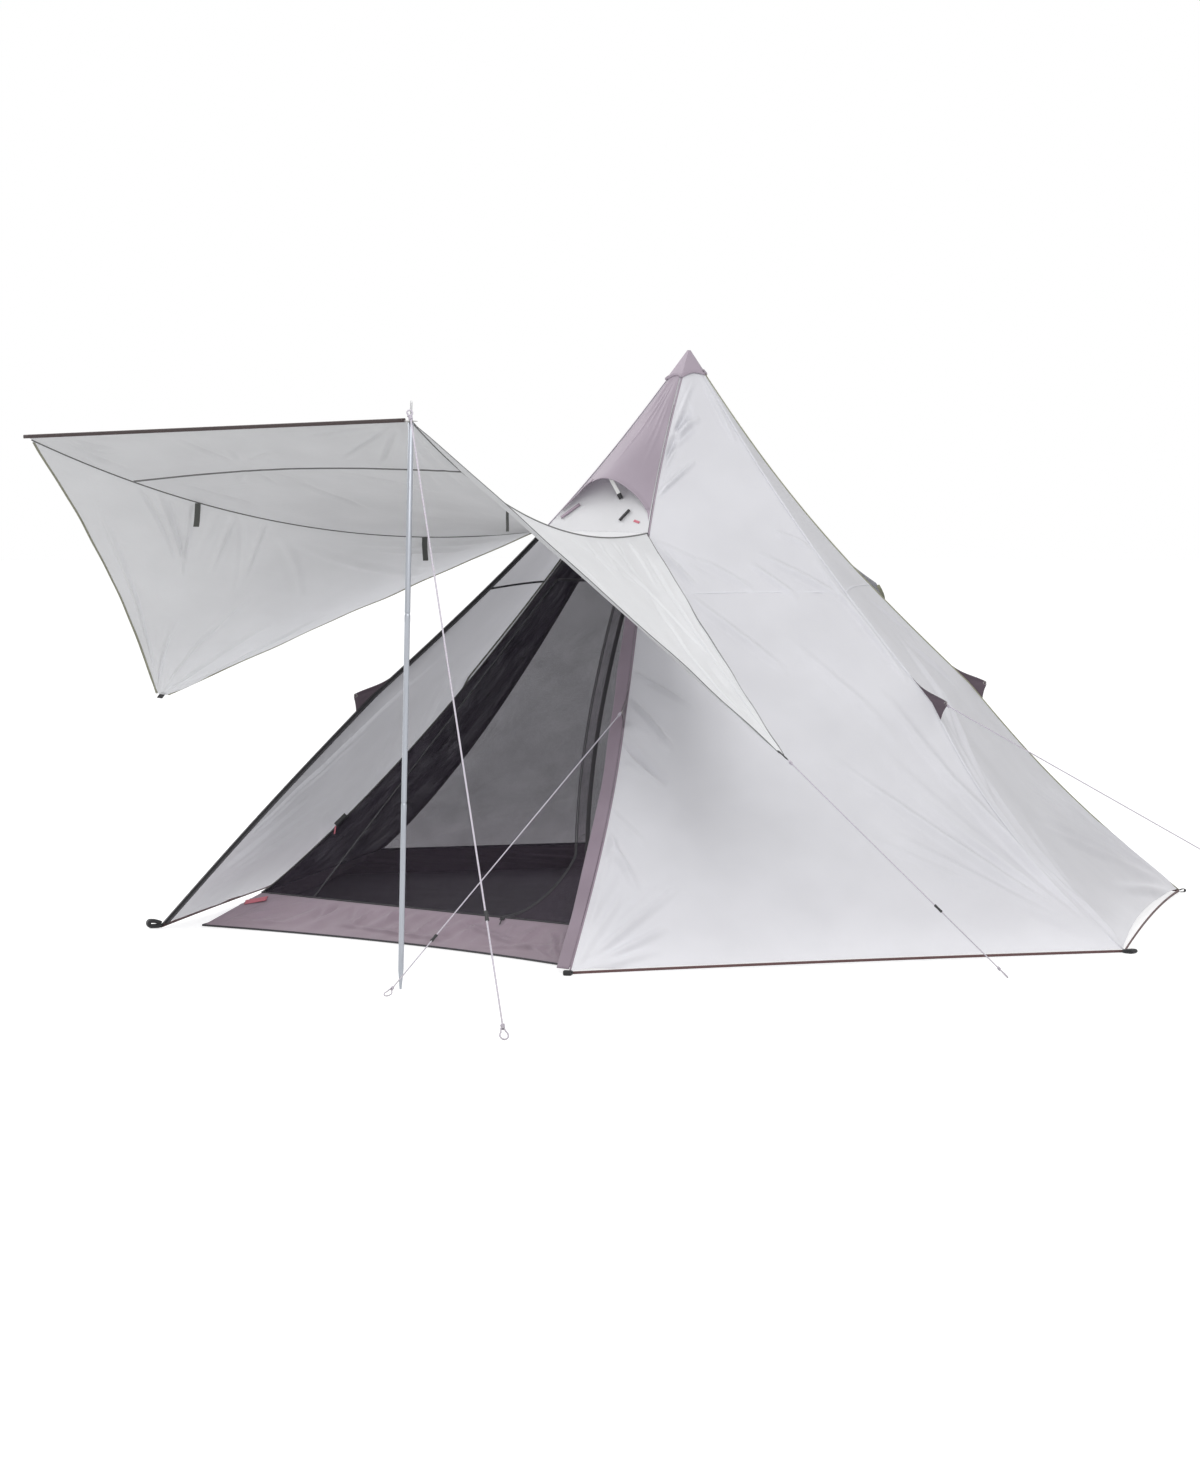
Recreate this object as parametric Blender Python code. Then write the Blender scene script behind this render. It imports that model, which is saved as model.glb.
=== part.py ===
"""Six-sided pyramid tent: a fly over one centre pole, with its door panel raised as an awning on a
second pole, and a mesh inner tent with a zipped door.

Metres, +Z up. The origin is the centre of the groundsheet, on the ground, and the door faces -Y.
Run with blender --background --python part.py, or from the text editor.
"""

import math

import bmesh
import bpy
import numpy as np
from mathutils import Matrix, Vector

# Fly
SIDES = 6
CORNER_RADIUS = 2.150
APEX_HEIGHT = 2.225
FIRST_CORNER_DEG = 240.0
FLY_HEAD_DROP = 0.060
FLY_TOP = APEX_HEIGHT - FLY_HEAD_DROP
CLOTH = 0.002
GAP = 0.0003
SEAM_WIDTH = 0.012
SEAM_THICKNESS = 0.006
COLLAR_HEIGHT = 0.010
COLLAR_THICKNESS = 0.006
HEM_HEIGHT = 0.014
HEM_THICKNESS = 0.004
PANEL_BELLY = 0.015
LEVELS = 15
PANEL_COLUMNS = 8
SMOOTH_ANGLE_DEG = 35.0
WELD_DISTANCE = 0.00002

# Ridge scallops: how far each ridge is drawn in above its fin, at it and below it
RIDGES = ("front_left", "front_right", "right", "back_right", "back_left", "left")
RIDGE_SHARES = {
    "front_left": (0.037, 0.000, -0.013),
    "front_right": (0.037, 0.000, -0.006),
    "right": (0.028, 0.032, 0.065),
    "back_right": (0.040, 0.045, 0.025),
    "back_left": (0.034, 0.038, 0.045),
    "left": (0.034, 0.038, 0.045),
}

# The awning draws its ridge aside at the top and away from itself below
RIDGE_SWAYS = {"front_right": 0.038}

# Guy fins and corner webbing
FIN_HEIGHT = 0.882
FIN_ABOVE = 0.100
FIN_BELOW = 0.062
FIN_STANDOFF = 0.075
FIN_TIP_WIDTH = 0.012
FIN_THICKNESS = 0.003
WEBBING_WIDTH = 0.025
WEBBING_THICKNESS = 0.003
PEG_LOOP_LENGTH = 0.052
PEG_LOOP_HEIGHT = 0.018
PEG_LOOP_OVERLAP = 0.002
CORNER_TAB_LENGTH = 0.030

# Apex cap
CAP_DEPTH = 0.120
CAP_BOTTOM = APEX_HEIGHT - CAP_DEPTH
CAP_SCALLOP = 0.014
CAP_PLAY = 0.0012
CAP_ROWS = 5
CAP_COLUMNS = 4

# Vent over the door
DOOR_TOP = 1.520
HOOD_SIDE_RISE = 0.040
HOOD_ARCH_RISE = 0.170
HOOD_TOP_DROP = 0.015
HOOD_SIDE_HEIGHT = DOOR_TOP + HOOD_SIDE_RISE
HOOD_ARCH_HEIGHT = DOOR_TOP + HOOD_ARCH_RISE
HOOD_TOP = FLY_TOP - HOOD_TOP_DROP
HOOD_BULGE = 0.085
HOOD_EDGE_INSET = 0.004
HOOD_CLEARANCE = 0.0008
HOOD_COLUMNS = 10
HOOD_ROWS = 7
VENT_PANEL_COLUMNS = 6
PROP_LENGTH = 0.100
PROP_WIDTH = 0.012
PROP_THICKNESS = 0.003
PROP_OFFSET_X = 0.015
PROP_PIN_RADIUS = 0.0025
PROP_HEAD_PLAY = 0.0056
PROP_SEARCH_STEPS = 24

# Rear vent
REAR_VENT_BOTTOM = 1.120
REAR_VENT_HEIGHT = 0.300
REAR_VENT_TOP = REAR_VENT_BOTTOM + REAR_VENT_HEIGHT
REAR_VENT_BULGE = 0.130
REAR_VENT_END_BULGE = 0.045
REAR_VENT_FALL = 1.5
REAR_VENT_ROUNDING = 4
REAR_VENT_SIDE = 3
REAR_VENT_COLUMNS = 10
REAR_VENT_ROWS = 5

# Door edges
STORM_FLAP_WIDTH = 0.060
DOOR_ZIP_WIDTH = 0.020
DOOR_EDGE_COLUMNS = 2

# Awning: corners of the raised door panel and its two wings
AWNING_FRONT_LEFT = Vector((-1.004, -2.574, 1.894))
AWNING_FRONT_RIGHT = Vector((1.004, -2.574, 1.962))
AWNING_WING_LEFT = Vector((-1.643, -1.339, 0.834))
AWNING_WING_RIGHT = Vector((1.643, -1.339, 0.761))
AWNING_SEAM_SAG = 0.150
AWNING_CROWN = 0.070
AWNING_ROWS = 14
WING_EDGE_BOW = 0.055
WING_BELLY = 0.035
WING_BELLY_OUT_SHARE = 0.5
PIPING_RADIUS = 0.003
BINDING_RADIUS = 0.004
SEAM_END_CLEARANCE = 0.026
AWNING_REAR_INSET = 0.009
AWNING_REAR_SHARE = 0.05
AWNING_COLUMNS = 12
WING_ROWS = 10
BINDING_POINTS = 8
POLE_CORNER_INSET = 0.018
WING_TIP = 0.034

# Hanging ties
TIE_LENGTH = 0.090
TIE_WIDTH = 0.016
TIE_THICKNESS = 0.003
TIE_SHARES = {
    "left_front": 0.68,
    "left_rear": 0.24,
    "right_front": 0.62,
    "right_rear": 0.19,
}

# Awning pole
AWNING_POLE_FOOT = Vector((0.921, -2.550, 0.0))
AWNING_POLE_RADIUS = 0.0095
AWNING_POLE_SECTIONS = 3
AWNING_FOOT_LENGTH = 0.075
FOOT_TIP_SHARE = 0.4
SPIKE_RADIUS = 0.004
SPIKE_LENGTH = 0.072
SPIKE_SHOULDER_SHARE = 0.9
GROMMET_THICKNESS = 0.003
GROMMET_CLEARANCE = 0.0004
JOINT_NECK_LENGTH = 0.006
JOINT_NECK_DEPTH = 0.0012
AWNING_POLE_STEPS = 12
ROUND_STEPS = 16

# Centre pole
CENTRE_POLE_RADIUS = 0.014
CENTRE_POLE_SECTIONS = 2
CENTRE_FOOT_RADIUS = 0.032
CENTRE_FOOT_HEIGHT = 0.030
CENTRE_FOOT_RIM_SHARE = 0.25
CENTRE_FOOT_SLOPE_SHARE = 0.5
CENTRE_FOOT_COLLAR_SHARE = 1.2
CENTRE_TOP_SHARE = 0.33

# Inner tent
INNER_MARGIN = 0.170
INNER_APEX_DROP = 0.125
INNER_HEAD_DROP = 0.100
INNER_RADIUS = CORNER_RADIUS - INNER_MARGIN
INNER_APEX = APEX_HEIGHT - INNER_APEX_DROP
INNER_TOP = INNER_APEX - INNER_HEAD_DROP
INNER_SAG = 0.215
INNER_SAG_POWER_SHARE = 0.6
BATHTUB_HEIGHT = 0.125
BATHTUB_FRONT_BOW = 0.100
BATHTUB_BOW = 0.040
BATHTUB_COLUMNS = 8
BATHTUB_ROWS = 2
INNER_ROWS = 12
INNER_COLUMNS = 4
INNER_FRONT_ROWS = 16
TAPE_WIDTH = 0.012
TAPE_THICKNESS = 0.006
HEAD_OPENING_PLAY = 0.0005
FRONT_BOW = 0.152
FRONT_BOW_POWER_SHARE = 0.75
INNER_DOOR_TOP = 1.330
INNER_DOOR_HINGE_FOOT = 0.580
INNER_DOOR_HINGE_HEAD = 0.165
INNER_DOOR_MARGIN = 0.055
INNER_DOOR_CORNER_RADIUS = 0.230
INNER_DOOR_ROWS = 10
INNER_DOOR_CORNER_STEPS = 6
DOOR_GAP = 0.0006
SLIDER_LENGTH = 0.022
SLIDER_WIDTH = 0.009
SLIDER_HEIGHT = 0.004
SLIDER_DROP = 0.004
ZIP_SLIDER_X = 0.420

# Guy lines: pole, front right fin, right wing, right fin
GUY_RADIUS = 0.00225
POLE_GUY_RADIUS = 0.003
POLE_GUY_PEG = Vector((2.047, -3.214, 0.0))
FIN_GUY_PEG = Vector((1.010, -2.700, 0.0))
WING_GUY_PEG = Vector((2.263, -0.885, 0.0))
SIDE_GUY_PEG = Vector((2.480, 0.980, 0.0))
GUY_EYE_RADIUS = 0.014
GUY_EYE_LIFT = 0.045
GUY_STRAIGHT_POINTS = 10
GUY_EYE_POINTS = 8
EYE_OPENING_DEG = 140.0
EYE_NECK_SHARE = 2.4
EYE_CLOSE_SHARE = 1.7
EYE_SIDE_SHARE = 2.8
RUNNER_LENGTH = 0.036
RUNNER_WIDTH = 0.015
RUNNER_THICKNESS = 0.010
RUNNER_PLAY = 0.0005
RUNNER_STEPS = 12
RUNNER_FROM_PEG = {
    "pole": 0.420,
    "front_right": 0.330,
    "wing": 0.330,
    "right": 0.420,
}

UP = Vector((0.0, 0.0, 1.0))


# Helpers

def clear_scene():
    """Remove every object of the start-up scene."""
    for item in list(bpy.data.objects):
        bpy.data.objects.remove(item, do_unlink=True)


def material(name, colour, roughness, metallic=0.0):
    """A Principled material, made once for each name."""
    found = bpy.data.materials.get(name)
    if found:
        return found
    made = bpy.data.materials.new(name)
    made.use_nodes = True
    shader = made.node_tree.nodes["Principled BSDF"]
    shader.inputs["Base Color"].default_value = (*colour, 1.0)
    shader.inputs["Roughness"].default_value = roughness
    shader.inputs["Metallic"].default_value = metallic
    made.diffuse_color = (*colour, 1.0)
    return made


def add_object(name, mesh, finish, smooth=False):
    """Link a mesh as a named object with its own copy of a finish."""
    item = bpy.data.objects.new(name, mesh)
    bpy.context.scene.collection.objects.link(item)
    own = finish.copy()
    own.name = name
    mesh.materials.append(own)
    if smooth:
        mesh.shade_smooth()
        mesh.set_sharp_from_angle(angle=math.radians(SMOOTH_ANGLE_DEG))
    return item


def mesh_from(name, build):
    """A mesh made by a function that fills a bmesh."""
    shape = bmesh.new()
    build(shape)
    bmesh.ops.recalc_face_normals(shape, faces=shape.faces)
    mesh = bpy.data.meshes.new(name)
    shape.to_mesh(mesh)
    shape.free()
    return mesh


def sheet(name, rows, finish, closed=False, thickness=CLOTH):
    """Cloth from a grid of points, thickened away from the side that its faces show."""
    shape = bmesh.new()
    grid = [[shape.verts.new(point) for point in row] for row in rows]
    columns = len(grid[0])
    for low, high in zip(grid, grid[1:]):
        for i in range(columns if closed else columns - 1):
            j = (i + 1) % columns
            shape.faces.new((low[i], low[j], high[j], high[i]))
    mesh = bpy.data.meshes.new(name)
    shape.to_mesh(mesh)
    shape.free()
    item = add_object(name, mesh, finish)
    thicken(item, thickness)
    return item


def flat_sheet(name, outline, finish, thickness=CLOTH):
    """A flat piece of cloth from its outline, thickened away from the side that its face shows."""
    shape = bmesh.new()
    shape.faces.new([shape.verts.new(point) for point in outline])
    mesh = bpy.data.meshes.new(name)
    shape.to_mesh(mesh)
    shape.free()
    item = add_object(name, mesh, finish)
    thicken(item, thickness)
    return item


def thicken(item, thickness):
    """Give a sheet its thickness behind its faces."""
    solid = item.modifiers.new("thickness", "SOLIDIFY")
    solid.thickness = thickness
    solid.offset = -1.0
    solid.use_even_offset = True


def ribbon(shape, points, sides, faces, width, thickness):
    """A strip of rectangular section along a line, into a bmesh."""
    rings = []
    for point, side, face in zip(points, sides, faces):
        across = side * (width / 2)
        deep = face * (thickness / 2)
        corners = (-across - deep, across - deep, across + deep, -across + deep)
        rings.append([shape.verts.new(point + corner) for corner in corners])
    for a, b in zip(rings, rings[1:]):
        for i in range(len(a)):
            j = (i + 1) % len(a)
            shape.faces.new((a[i], a[j], b[j], b[i]))
    shape.faces.new(rings[0])
    shape.faces.new(rings[-1])


def tube(name, points, radius, finish, resolution=2):
    """A round tube with closed ends along a line of points."""
    curve = bpy.data.curves.new(name, "CURVE")
    curve.dimensions = "3D"
    curve.bevel_depth = radius
    curve.bevel_resolution = resolution
    curve.use_fill_caps = True
    spline = curve.splines.new("POLY")
    spline.points.add(len(points) - 1)
    for knot, point in zip(spline.points, points):
        knot.co = (*point, 1.0)
    item = bpy.data.objects.new(name, curve)
    bpy.context.scene.collection.objects.link(item)
    own = finish.copy()
    own.name = name
    curve.materials.append(own)
    return item


def turned(name, profile, base, axis, finish, turns=ROUND_STEPS, bore=False):
    """A round piece from (radius, height) pairs from its foot up, turned about an axis."""
    def build(shape):
        verts = [shape.verts.new((radius, 0.0, height)) for radius, height in profile]
        if bore:
            verts.append(verts[0])
        edges = [shape.edges.new(pair) for pair in zip(verts, verts[1:])]
        bmesh.ops.spin(
            shape,
            geom=edges,
            cent=(0.0, 0.0, 0.0),
            axis=UP,
            angle=math.tau,
            steps=turns,
            use_merge=True,
        )
        bmesh.ops.remove_doubles(shape, verts=shape.verts, dist=WELD_DISTANCE)

    item = add_object(name, mesh_from(name, build), finish, smooth=True)
    turn = UP.rotation_difference(Vector(axis).normalized()).to_matrix().to_4x4()
    item.matrix_world = Matrix.Translation(base) @ turn
    return item


def box(shape, centre, along, side, size):
    """A box of a length, width and height, its length along one direction, into a bmesh."""
    along = along.normalized()
    side = (side - along * side.dot(along)).normalized()
    rise = along.cross(side)
    frame = Matrix((along, side, rise)).transposed().to_4x4()
    frame.translation = centre
    made = bmesh.ops.create_cube(shape, size=1.0)["verts"]
    bmesh.ops.transform(shape, matrix=frame @ Matrix.Diagonal((*size, 1.0)), verts=made)
    return made


def unite(item, build):
    """Join shapes onto an object, so that they are one body with it."""
    name = item.name + "_joined"
    added = bpy.data.objects.new(name, mesh_from(name, build))
    bpy.context.scene.collection.objects.link(added)
    added.hide_render = True
    added.display_type = "WIRE"
    joint = item.modifiers.new("joined", "BOOLEAN")
    joint.operation = "UNION"
    joint.solver = "EXACT"
    joint.object = added


def hexagon_ring(shape, low, high, outer_at, inner_at):
    """A six-sided collar between two heights, its outer and inner corners on the ridges, into a bmesh."""
    rings = []
    for corner_at, height in ((outer_at, low), (outer_at, high), (inner_at, high), (inner_at, low)):
        rings.append([shape.verts.new(corner_at(index, height)) for index in range(SIDES)])
    for a, b in zip(rings, rings[1:] + rings[:1]):
        for i in range(SIDES):
            j = (i + 1) % SIDES
            shape.faces.new((a[i], a[j], b[j], b[i]))


def bevel(item, width, segments=2):
    """Round an object's edges."""
    edge = item.modifiers.new("rounded", "BEVEL")
    edge.width = width
    edge.segments = segments
    edge.limit_method = "ANGLE"


def blend(a, b, share):
    """The point that lies a share of the way from one point to another."""
    return a + (b - a) * share


def arch(share):
    """Height of a unit parabola over the way from 0 to 1."""
    return 4.0 * share * (1.0 - share)


def steps(low, high, count):
    """Evenly spaced values from low to high, count steps apart."""
    return [low + (high - low) * i / count for i in range(count + 1)]


# Form of the fly

def corner_direction(index):
    """Level direction from the centre to a corner."""
    angle = math.radians(FIRST_CORNER_DEG) + math.tau * index / SIDES
    return Vector((math.cos(angle), math.sin(angle), 0.0))


def smooth_ridge_radius(index, height):
    """Distance of a ridge from the centre line: a straight fall, drawn in by two scallops."""
    upper, fin, lower = RIDGE_SHARES[RIDGES[index]]
    rise = height / APEX_HEIGHT
    split = FIN_HEIGHT / APEX_HEIGHT
    if rise > split:
        way = (1.0 - rise) / (1.0 - split)
        drawn = fin * way + upper * math.sin(math.pi * way)
    else:
        way = rise / split
        drawn = fin * way + lower * math.sin(math.pi * way)
    return CORNER_RADIUS * (1.0 - rise - drawn)


def panel_foot():
    """Height where a fly panel starts, on top of its hem."""
    return HEM_HEIGHT + GAP


def level_heights():
    """Heights of the fly panels' rows."""
    return steps(panel_foot(), FLY_TOP, LEVELS - 1)


def smooth_ridge_point(index, height):
    """Point on a ridge at a height, with the ridge's sideways sway."""
    ray = corner_direction(index)
    sway = RIDGE_SWAYS.get(RIDGES[index], 0.0) * math.sin(math.tau * height / APEX_HEIGHT)
    return ray * smooth_ridge_radius(index, height) + UP.cross(ray) * sway + UP * height


def ridge_point(index, height):
    """Point on the ridge's straight runs between the panels' rows, which everything on it shares."""
    index %= SIDES
    levels = level_heights()
    step = (levels[-1] - levels[0]) / (LEVELS - 1)
    row = min(max(int((height - levels[0]) / step), 0), LEVELS - 2)
    low = smooth_ridge_point(index, levels[row])
    high = smooth_ridge_point(index, levels[row + 1])
    return blend(low, high, (height - levels[row]) / step)


def chord_inset():
    """How far along its chord a panel stays from the ridge line, to clear the seam."""
    return (SEAM_WIDTH / 2 + GAP) / math.cos(math.pi / SIDES)


def panel_point(index, share, height, inset, belly=PANEL_BELLY):
    """Point on the fly between a ridge and the next, a share of the way across at a height."""
    left = ridge_point(index, height)
    right = ridge_point(index + 1, height)
    along = (right - left).normalized()
    point = blend(left + along * inset, right - along * inset, share)
    rise = height / APEX_HEIGHT
    depth = belly * math.sin(math.pi * share) * math.sin(math.pi * rise)
    return point - outward(index) * depth


def outward(index):
    """Level outward direction of the side between a corner and the next."""
    angle = math.radians(FIRST_CORNER_DEG) + math.tau * (index + 0.5) / SIDES
    return Vector((math.cos(angle), math.sin(angle), 0.0))


def side_normal(index, low, high):
    """Outward direction, square to the cloth, of a side between two heights."""
    across = ridge_point(index + 1, low) - ridge_point(index, low)
    slope = panel_point(index, 0.5, high, 0.0) - panel_point(index, 0.5, low, 0.0)
    return across.cross(slope).normalized()


def front_normal():
    """Outward direction, square to the cloth, of the front side above the door."""
    return side_normal(0, DOOR_TOP, HOOD_TOP)


def fly_panels(finish):
    """Five panels of the fly. The sixth side is the door."""
    names = ("front_right", "back_right", "back", "back_left", "front_left")
    for index, name in enumerate(names, start=1):
        rows = []
        for height in level_heights():
            shares = steps(0, 1, PANEL_COLUMNS)
            rows.append([panel_point(index, share, height, chord_inset()) for share in shares])
        sheet("fly_panel_" + name, rows, finish)


def collar_outside(index, height):
    """Outer corner of the fly's collar."""
    return ridge_point(index, height) + corner_direction(index) * (COLLAR_THICKNESS / 2)


def collar_inside(index, height):
    """Inner corner of the fly's collar."""
    return ridge_point(index, height) - corner_direction(index) * (COLLAR_THICKNESS / 2)


def ridge_seams(finish):
    """Taped seams along the six ridges, joined by a collar round the head of the pole."""
    def build(shape):
        heights = level_heights() + [FLY_TOP + COLLAR_HEIGHT]
        for index in range(SIDES):
            ray = corner_direction(index)
            side = UP.cross(ray)
            points = [ridge_point(index, height) for height in heights]
            count = len(points)
            ribbon(shape, points, [side] * count, [ray] * count, SEAM_WIDTH, SEAM_THICKNESS)

    def collar(shape):
        low = FLY_TOP + 2 * GAP
        high = FLY_TOP + COLLAR_HEIGHT - GAP
        hexagon_ring(shape, low, high, collar_outside, collar_inside)

    item = add_object("ridge_seams", mesh_from("ridge_seams", build), finish)
    unite(item, collar)


def hem_binding(finish):
    """Bound hem round the five panels, on the ground, with a peg loop at each corner."""
    def build(shape):
        order = [(1 + step) % SIDES for step in range(SIDES)]
        rays = [corner_direction(index) / math.cos(math.pi / SIDES) for index in order]
        middle = HEM_HEIGHT / 2
        points = [ridge_point(index, middle) for index in order]
        lowered = [point - ray * (HEM_THICKNESS / 2) for point, ray in zip(points, rays)]
        ribbon(shape, lowered, [UP] * SIDES, rays, HEM_HEIGHT, HEM_THICKNESS)

    def loops(shape):
        for index in range(SIDES):
            ray = corner_direction(index)
            start = ridge_point(index, HEM_HEIGHT / 2).xy.length - PEG_LOOP_OVERLAP
            centre = ray * (start + PEG_LOOP_LENGTH / 2) + UP * (PEG_LOOP_HEIGHT / 2)
            box(shape, centre, ray, UP.cross(ray), (PEG_LOOP_LENGTH, WEBBING_WIDTH, PEG_LOOP_HEIGHT))

    item = add_object("hem_binding", mesh_from("hem_binding", build), finish)
    unite(item, loops)


def cap_clearance():
    """How far the cap's inner corners stand off the ridges, so that its sides clear the seams."""
    return SEAM_THICKNESS / 2 + SEAM_WIDTH / 2 * math.tan(math.pi / SIDES) + CAP_PLAY


def cap_corner(index, height, stand):
    """Corner of the cap over a ridge, standing off it."""
    index %= SIDES
    return ridge_point(index, height) + corner_direction(index) * stand


def cap_ring(shape, row, stand):
    """One ring of the cap's points, its lower ones cut in a curve on each side, into a bmesh."""
    way = row / CAP_ROWS
    cut = CAP_SCALLOP * max(1.0 - row / (CAP_ROWS - 1), 0.0)
    ring = []
    for index in range(SIDES):
        for share in steps(0, 1, CAP_COLUMNS)[:-1]:
            height = CAP_BOTTOM + (APEX_HEIGHT - CAP_BOTTOM) * way + cut * math.sin(math.pi * share)
            left = cap_corner(index, height, stand)
            right = cap_corner(index + 1, height, stand)
            ring.append(shape.verts.new(blend(left, right, share)))
    return ring


def apex_cap(finish):
    """Six-sided cap over the tops of the panels, its lower edge cut in a curve on each side."""
    def build(shape):
        inside = cap_clearance()
        outside = inside + CLOTH / math.cos(math.pi / SIDES)
        inner = [cap_ring(shape, row, inside) for row in range(CAP_ROWS)]
        outer = [cap_ring(shape, row, outside) for row in range(CAP_ROWS + 1)]
        around = len(outer[0])
        rings = inner[::-1] + outer
        for a, b in zip(rings, rings[1:]):
            for i in range(around):
                j = (i + 1) % around
                shape.faces.new((a[i], a[j], b[j], b[i]))
        shape.faces.new(outer[-1])
        shape.faces.new(inner[-1])

    add_object("apex_cap", mesh_from("apex_cap", build), finish)


def vent_panel(finish):
    """Front side above the door, under the hood."""
    heights = [DOOR_TOP + GAP] + [h for h in level_heights() if h > DOOR_TOP + HEM_HEIGHT]
    shares = steps(0, 1, VENT_PANEL_COLUMNS)
    rows = []
    for height in heights:
        rows.append([panel_point(0, share, height, chord_inset(), 0.0) for share in shares])
    sheet("vent_panel", rows, finish)


def hood_point(share, way):
    """Point on the hood: it stands off the vent panel most in the middle of its arched lower edge."""
    bow = math.sin(math.pi * share)
    low = HOOD_SIDE_HEIGHT + (HOOD_ARCH_HEIGHT - HOOD_SIDE_HEIGHT) * bow
    height = low + (HOOD_TOP - low) * way
    inset = chord_inset() + HOOD_EDGE_INSET
    base = panel_point(0, share, height, inset, 0.0)
    stand = CLOTH + HOOD_CLEARANCE + HOOD_BULGE * bow * (1.0 - way) ** 2
    return base + front_normal() * stand


def vent_hood(finish):
    """Hood over the vent, sewn to the front side along its slanted edges."""
    shares = steps(0, 1, HOOD_COLUMNS)
    rows = [[hood_point(share, way) for share in shares] for way in steps(0, 1, HOOD_ROWS)]
    sheet("vent_hood", rows, finish)


def prop_foot(height):
    """Hinge line of the prop if its foot is sewn to the vent panel at a height."""
    foot = panel_point(0, 0.5, height, chord_inset(), 0.0) + front_normal() * (PROP_PIN_RADIUS + GAP)
    foot.x = PROP_OFFSET_X
    return foot


def prop_frame():
    """Foot of the prop on the vent panel, and the direction in which it reaches the hood's edge."""
    tip = hood_point(0.5, 0.0) - front_normal() * (CLOTH + GAP)
    tip.x = PROP_OFFSET_X
    low, high = DOOR_TOP, tip.z
    for _ in range(PROP_SEARCH_STEPS):
        middle = (low + high) / 2
        if (tip - prop_foot(middle)).length > PROP_LENGTH:
            low = middle
        else:
            high = middle
    foot = prop_foot(high)
    return foot, (tip - foot).normalized()


def vent_prop(finish):
    """Stiff bar that holds the hood open, hinged at its foot on the vent panel."""
    foot, direction = prop_frame()
    across = Vector((1.0, 0.0, 0.0))
    length = PROP_LENGTH - PROP_HEAD_PLAY

    def build(shape):
        centre = direction * (length / 2)
        box(shape, centre, direction, across, (length, PROP_WIDTH, PROP_THICKNESS))

    item = add_object("vent_prop", mesh_from("vent_prop", build), finish)
    item.location = foot
    bevel(item, PROP_THICKNESS / 4, 1)


def rear_hood_point(share, way):
    """Point on the rear vent's hood, from its lower edge to its sewn upper one."""
    index = REAR_VENT_SIDE
    bow = math.sin(math.pi * share)
    rounding = (2.0 * share - 1.0) ** REAR_VENT_ROUNDING
    height = REAR_VENT_BOTTOM + (REAR_VENT_TOP - REAR_VENT_BOTTOM) * way
    height += (REAR_VENT_TOP - height) * rounding / 2
    base = panel_point(index, share, height, chord_inset() + HOOD_EDGE_INSET)
    bulge = REAR_VENT_END_BULGE + (REAR_VENT_BULGE - REAR_VENT_END_BULGE) * bow
    stand = CLOTH + HOOD_CLEARANCE + bulge * (1.0 - way) ** REAR_VENT_FALL
    return base + side_normal(index, REAR_VENT_BOTTOM, REAR_VENT_TOP) * stand


def rear_vent_hood(finish):
    """Wide hood of the rear vent, sewn on along its top and open below."""
    rows = []
    for way in steps(0, 1, REAR_VENT_ROWS):
        rows.append([rear_hood_point(share, way) for share in steps(0, 1, REAR_VENT_COLUMNS)])
    sheet("rear_vent_hood", rows, finish)


def door_edges(flap_finish, zip_finish):
    """Storm flap along the right side of the door, and the zip tape along its left side."""
    for name, index, toward, width, finish in (
        ("storm_flap", 1, 0, STORM_FLAP_WIDTH, flap_finish),
        ("door_zip_tape", 0, 1, DOOR_ZIP_WIDTH, zip_finish),
    ):
        rows = []
        low = PEG_LOOP_HEIGHT + HEM_HEIGHT
        high = DOOR_TOP - STORM_FLAP_WIDTH
        between = [height for height in level_heights() if low < height < high]
        for height in [PEG_LOOP_HEIGHT + 2 * GAP] + between + [DOOR_TOP - STORM_FLAP_WIDTH / 2]:
            edge = ridge_point(index, height)
            along = (ridge_point(toward, height) - edge).normalized()
            near = edge + along * chord_inset()
            row = [near + along * (width * share) for share in steps(0, 1, DOOR_EDGE_COLUMNS)]
            rows.append(row if toward else row[::-1])
        sheet(name, rows, finish)


def guy_fins(finish):
    """Triangular reinforcements that stand off the ridges and take the guy lines."""
    start = SEAM_THICKNESS / 2 + GAP
    top = FIN_HEIGHT + FIN_ABOVE
    foot = FIN_HEIGHT - FIN_BELOW
    bends = [height for height in level_heights()[::-1] if foot < height < top]
    for index, name in enumerate(RIDGES):
        ray = corner_direction(index)
        side = UP.cross(ray)

        def build(shape):
            outline = [ridge_point(index, height) + ray * start for height in [top] + bends + [foot]]
            tip_half = UP * (FIN_TIP_WIDTH / 2)
            outline += [fin_tip(index) - tip_half, fin_tip(index) + tip_half]
            front = [shape.verts.new(p + side * (FIN_THICKNESS / 2)) for p in outline]
            back = [shape.verts.new(p - side * (FIN_THICKNESS / 2)) for p in outline]
            shape.faces.new(front)
            shape.faces.new(back[::-1])
            for i in range(len(outline)):
                j = (i + 1) % len(outline)
                shape.faces.new((front[i], back[i], back[j], front[j]))

        add_object("guy_fin_" + name, mesh_from("guy_fin_" + name, build), finish)


def fin_tip(index):
    """Outer edge of a fin, where its guy line is tied."""
    return ridge_point(index, FIN_HEIGHT) + corner_direction(index) * FIN_STANDOFF


def wing_tabs(finish):
    """Webbing tabs at the hanging corners of the wings."""
    for side, name in ((-1, "awning_tab_left"), (1, "awning_tab_right")):
        middle, across = wing_tip(side)
        away = wing_direction(side)

        def build(shape):
            size = (CORNER_TAB_LENGTH, WEBBING_WIDTH, WEBBING_THICKNESS)
            box(shape, middle + away * (2 * GAP + CORNER_TAB_LENGTH / 2), away, across, size)

        add_object(name, mesh_from(name, build), finish)


# Awning

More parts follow.
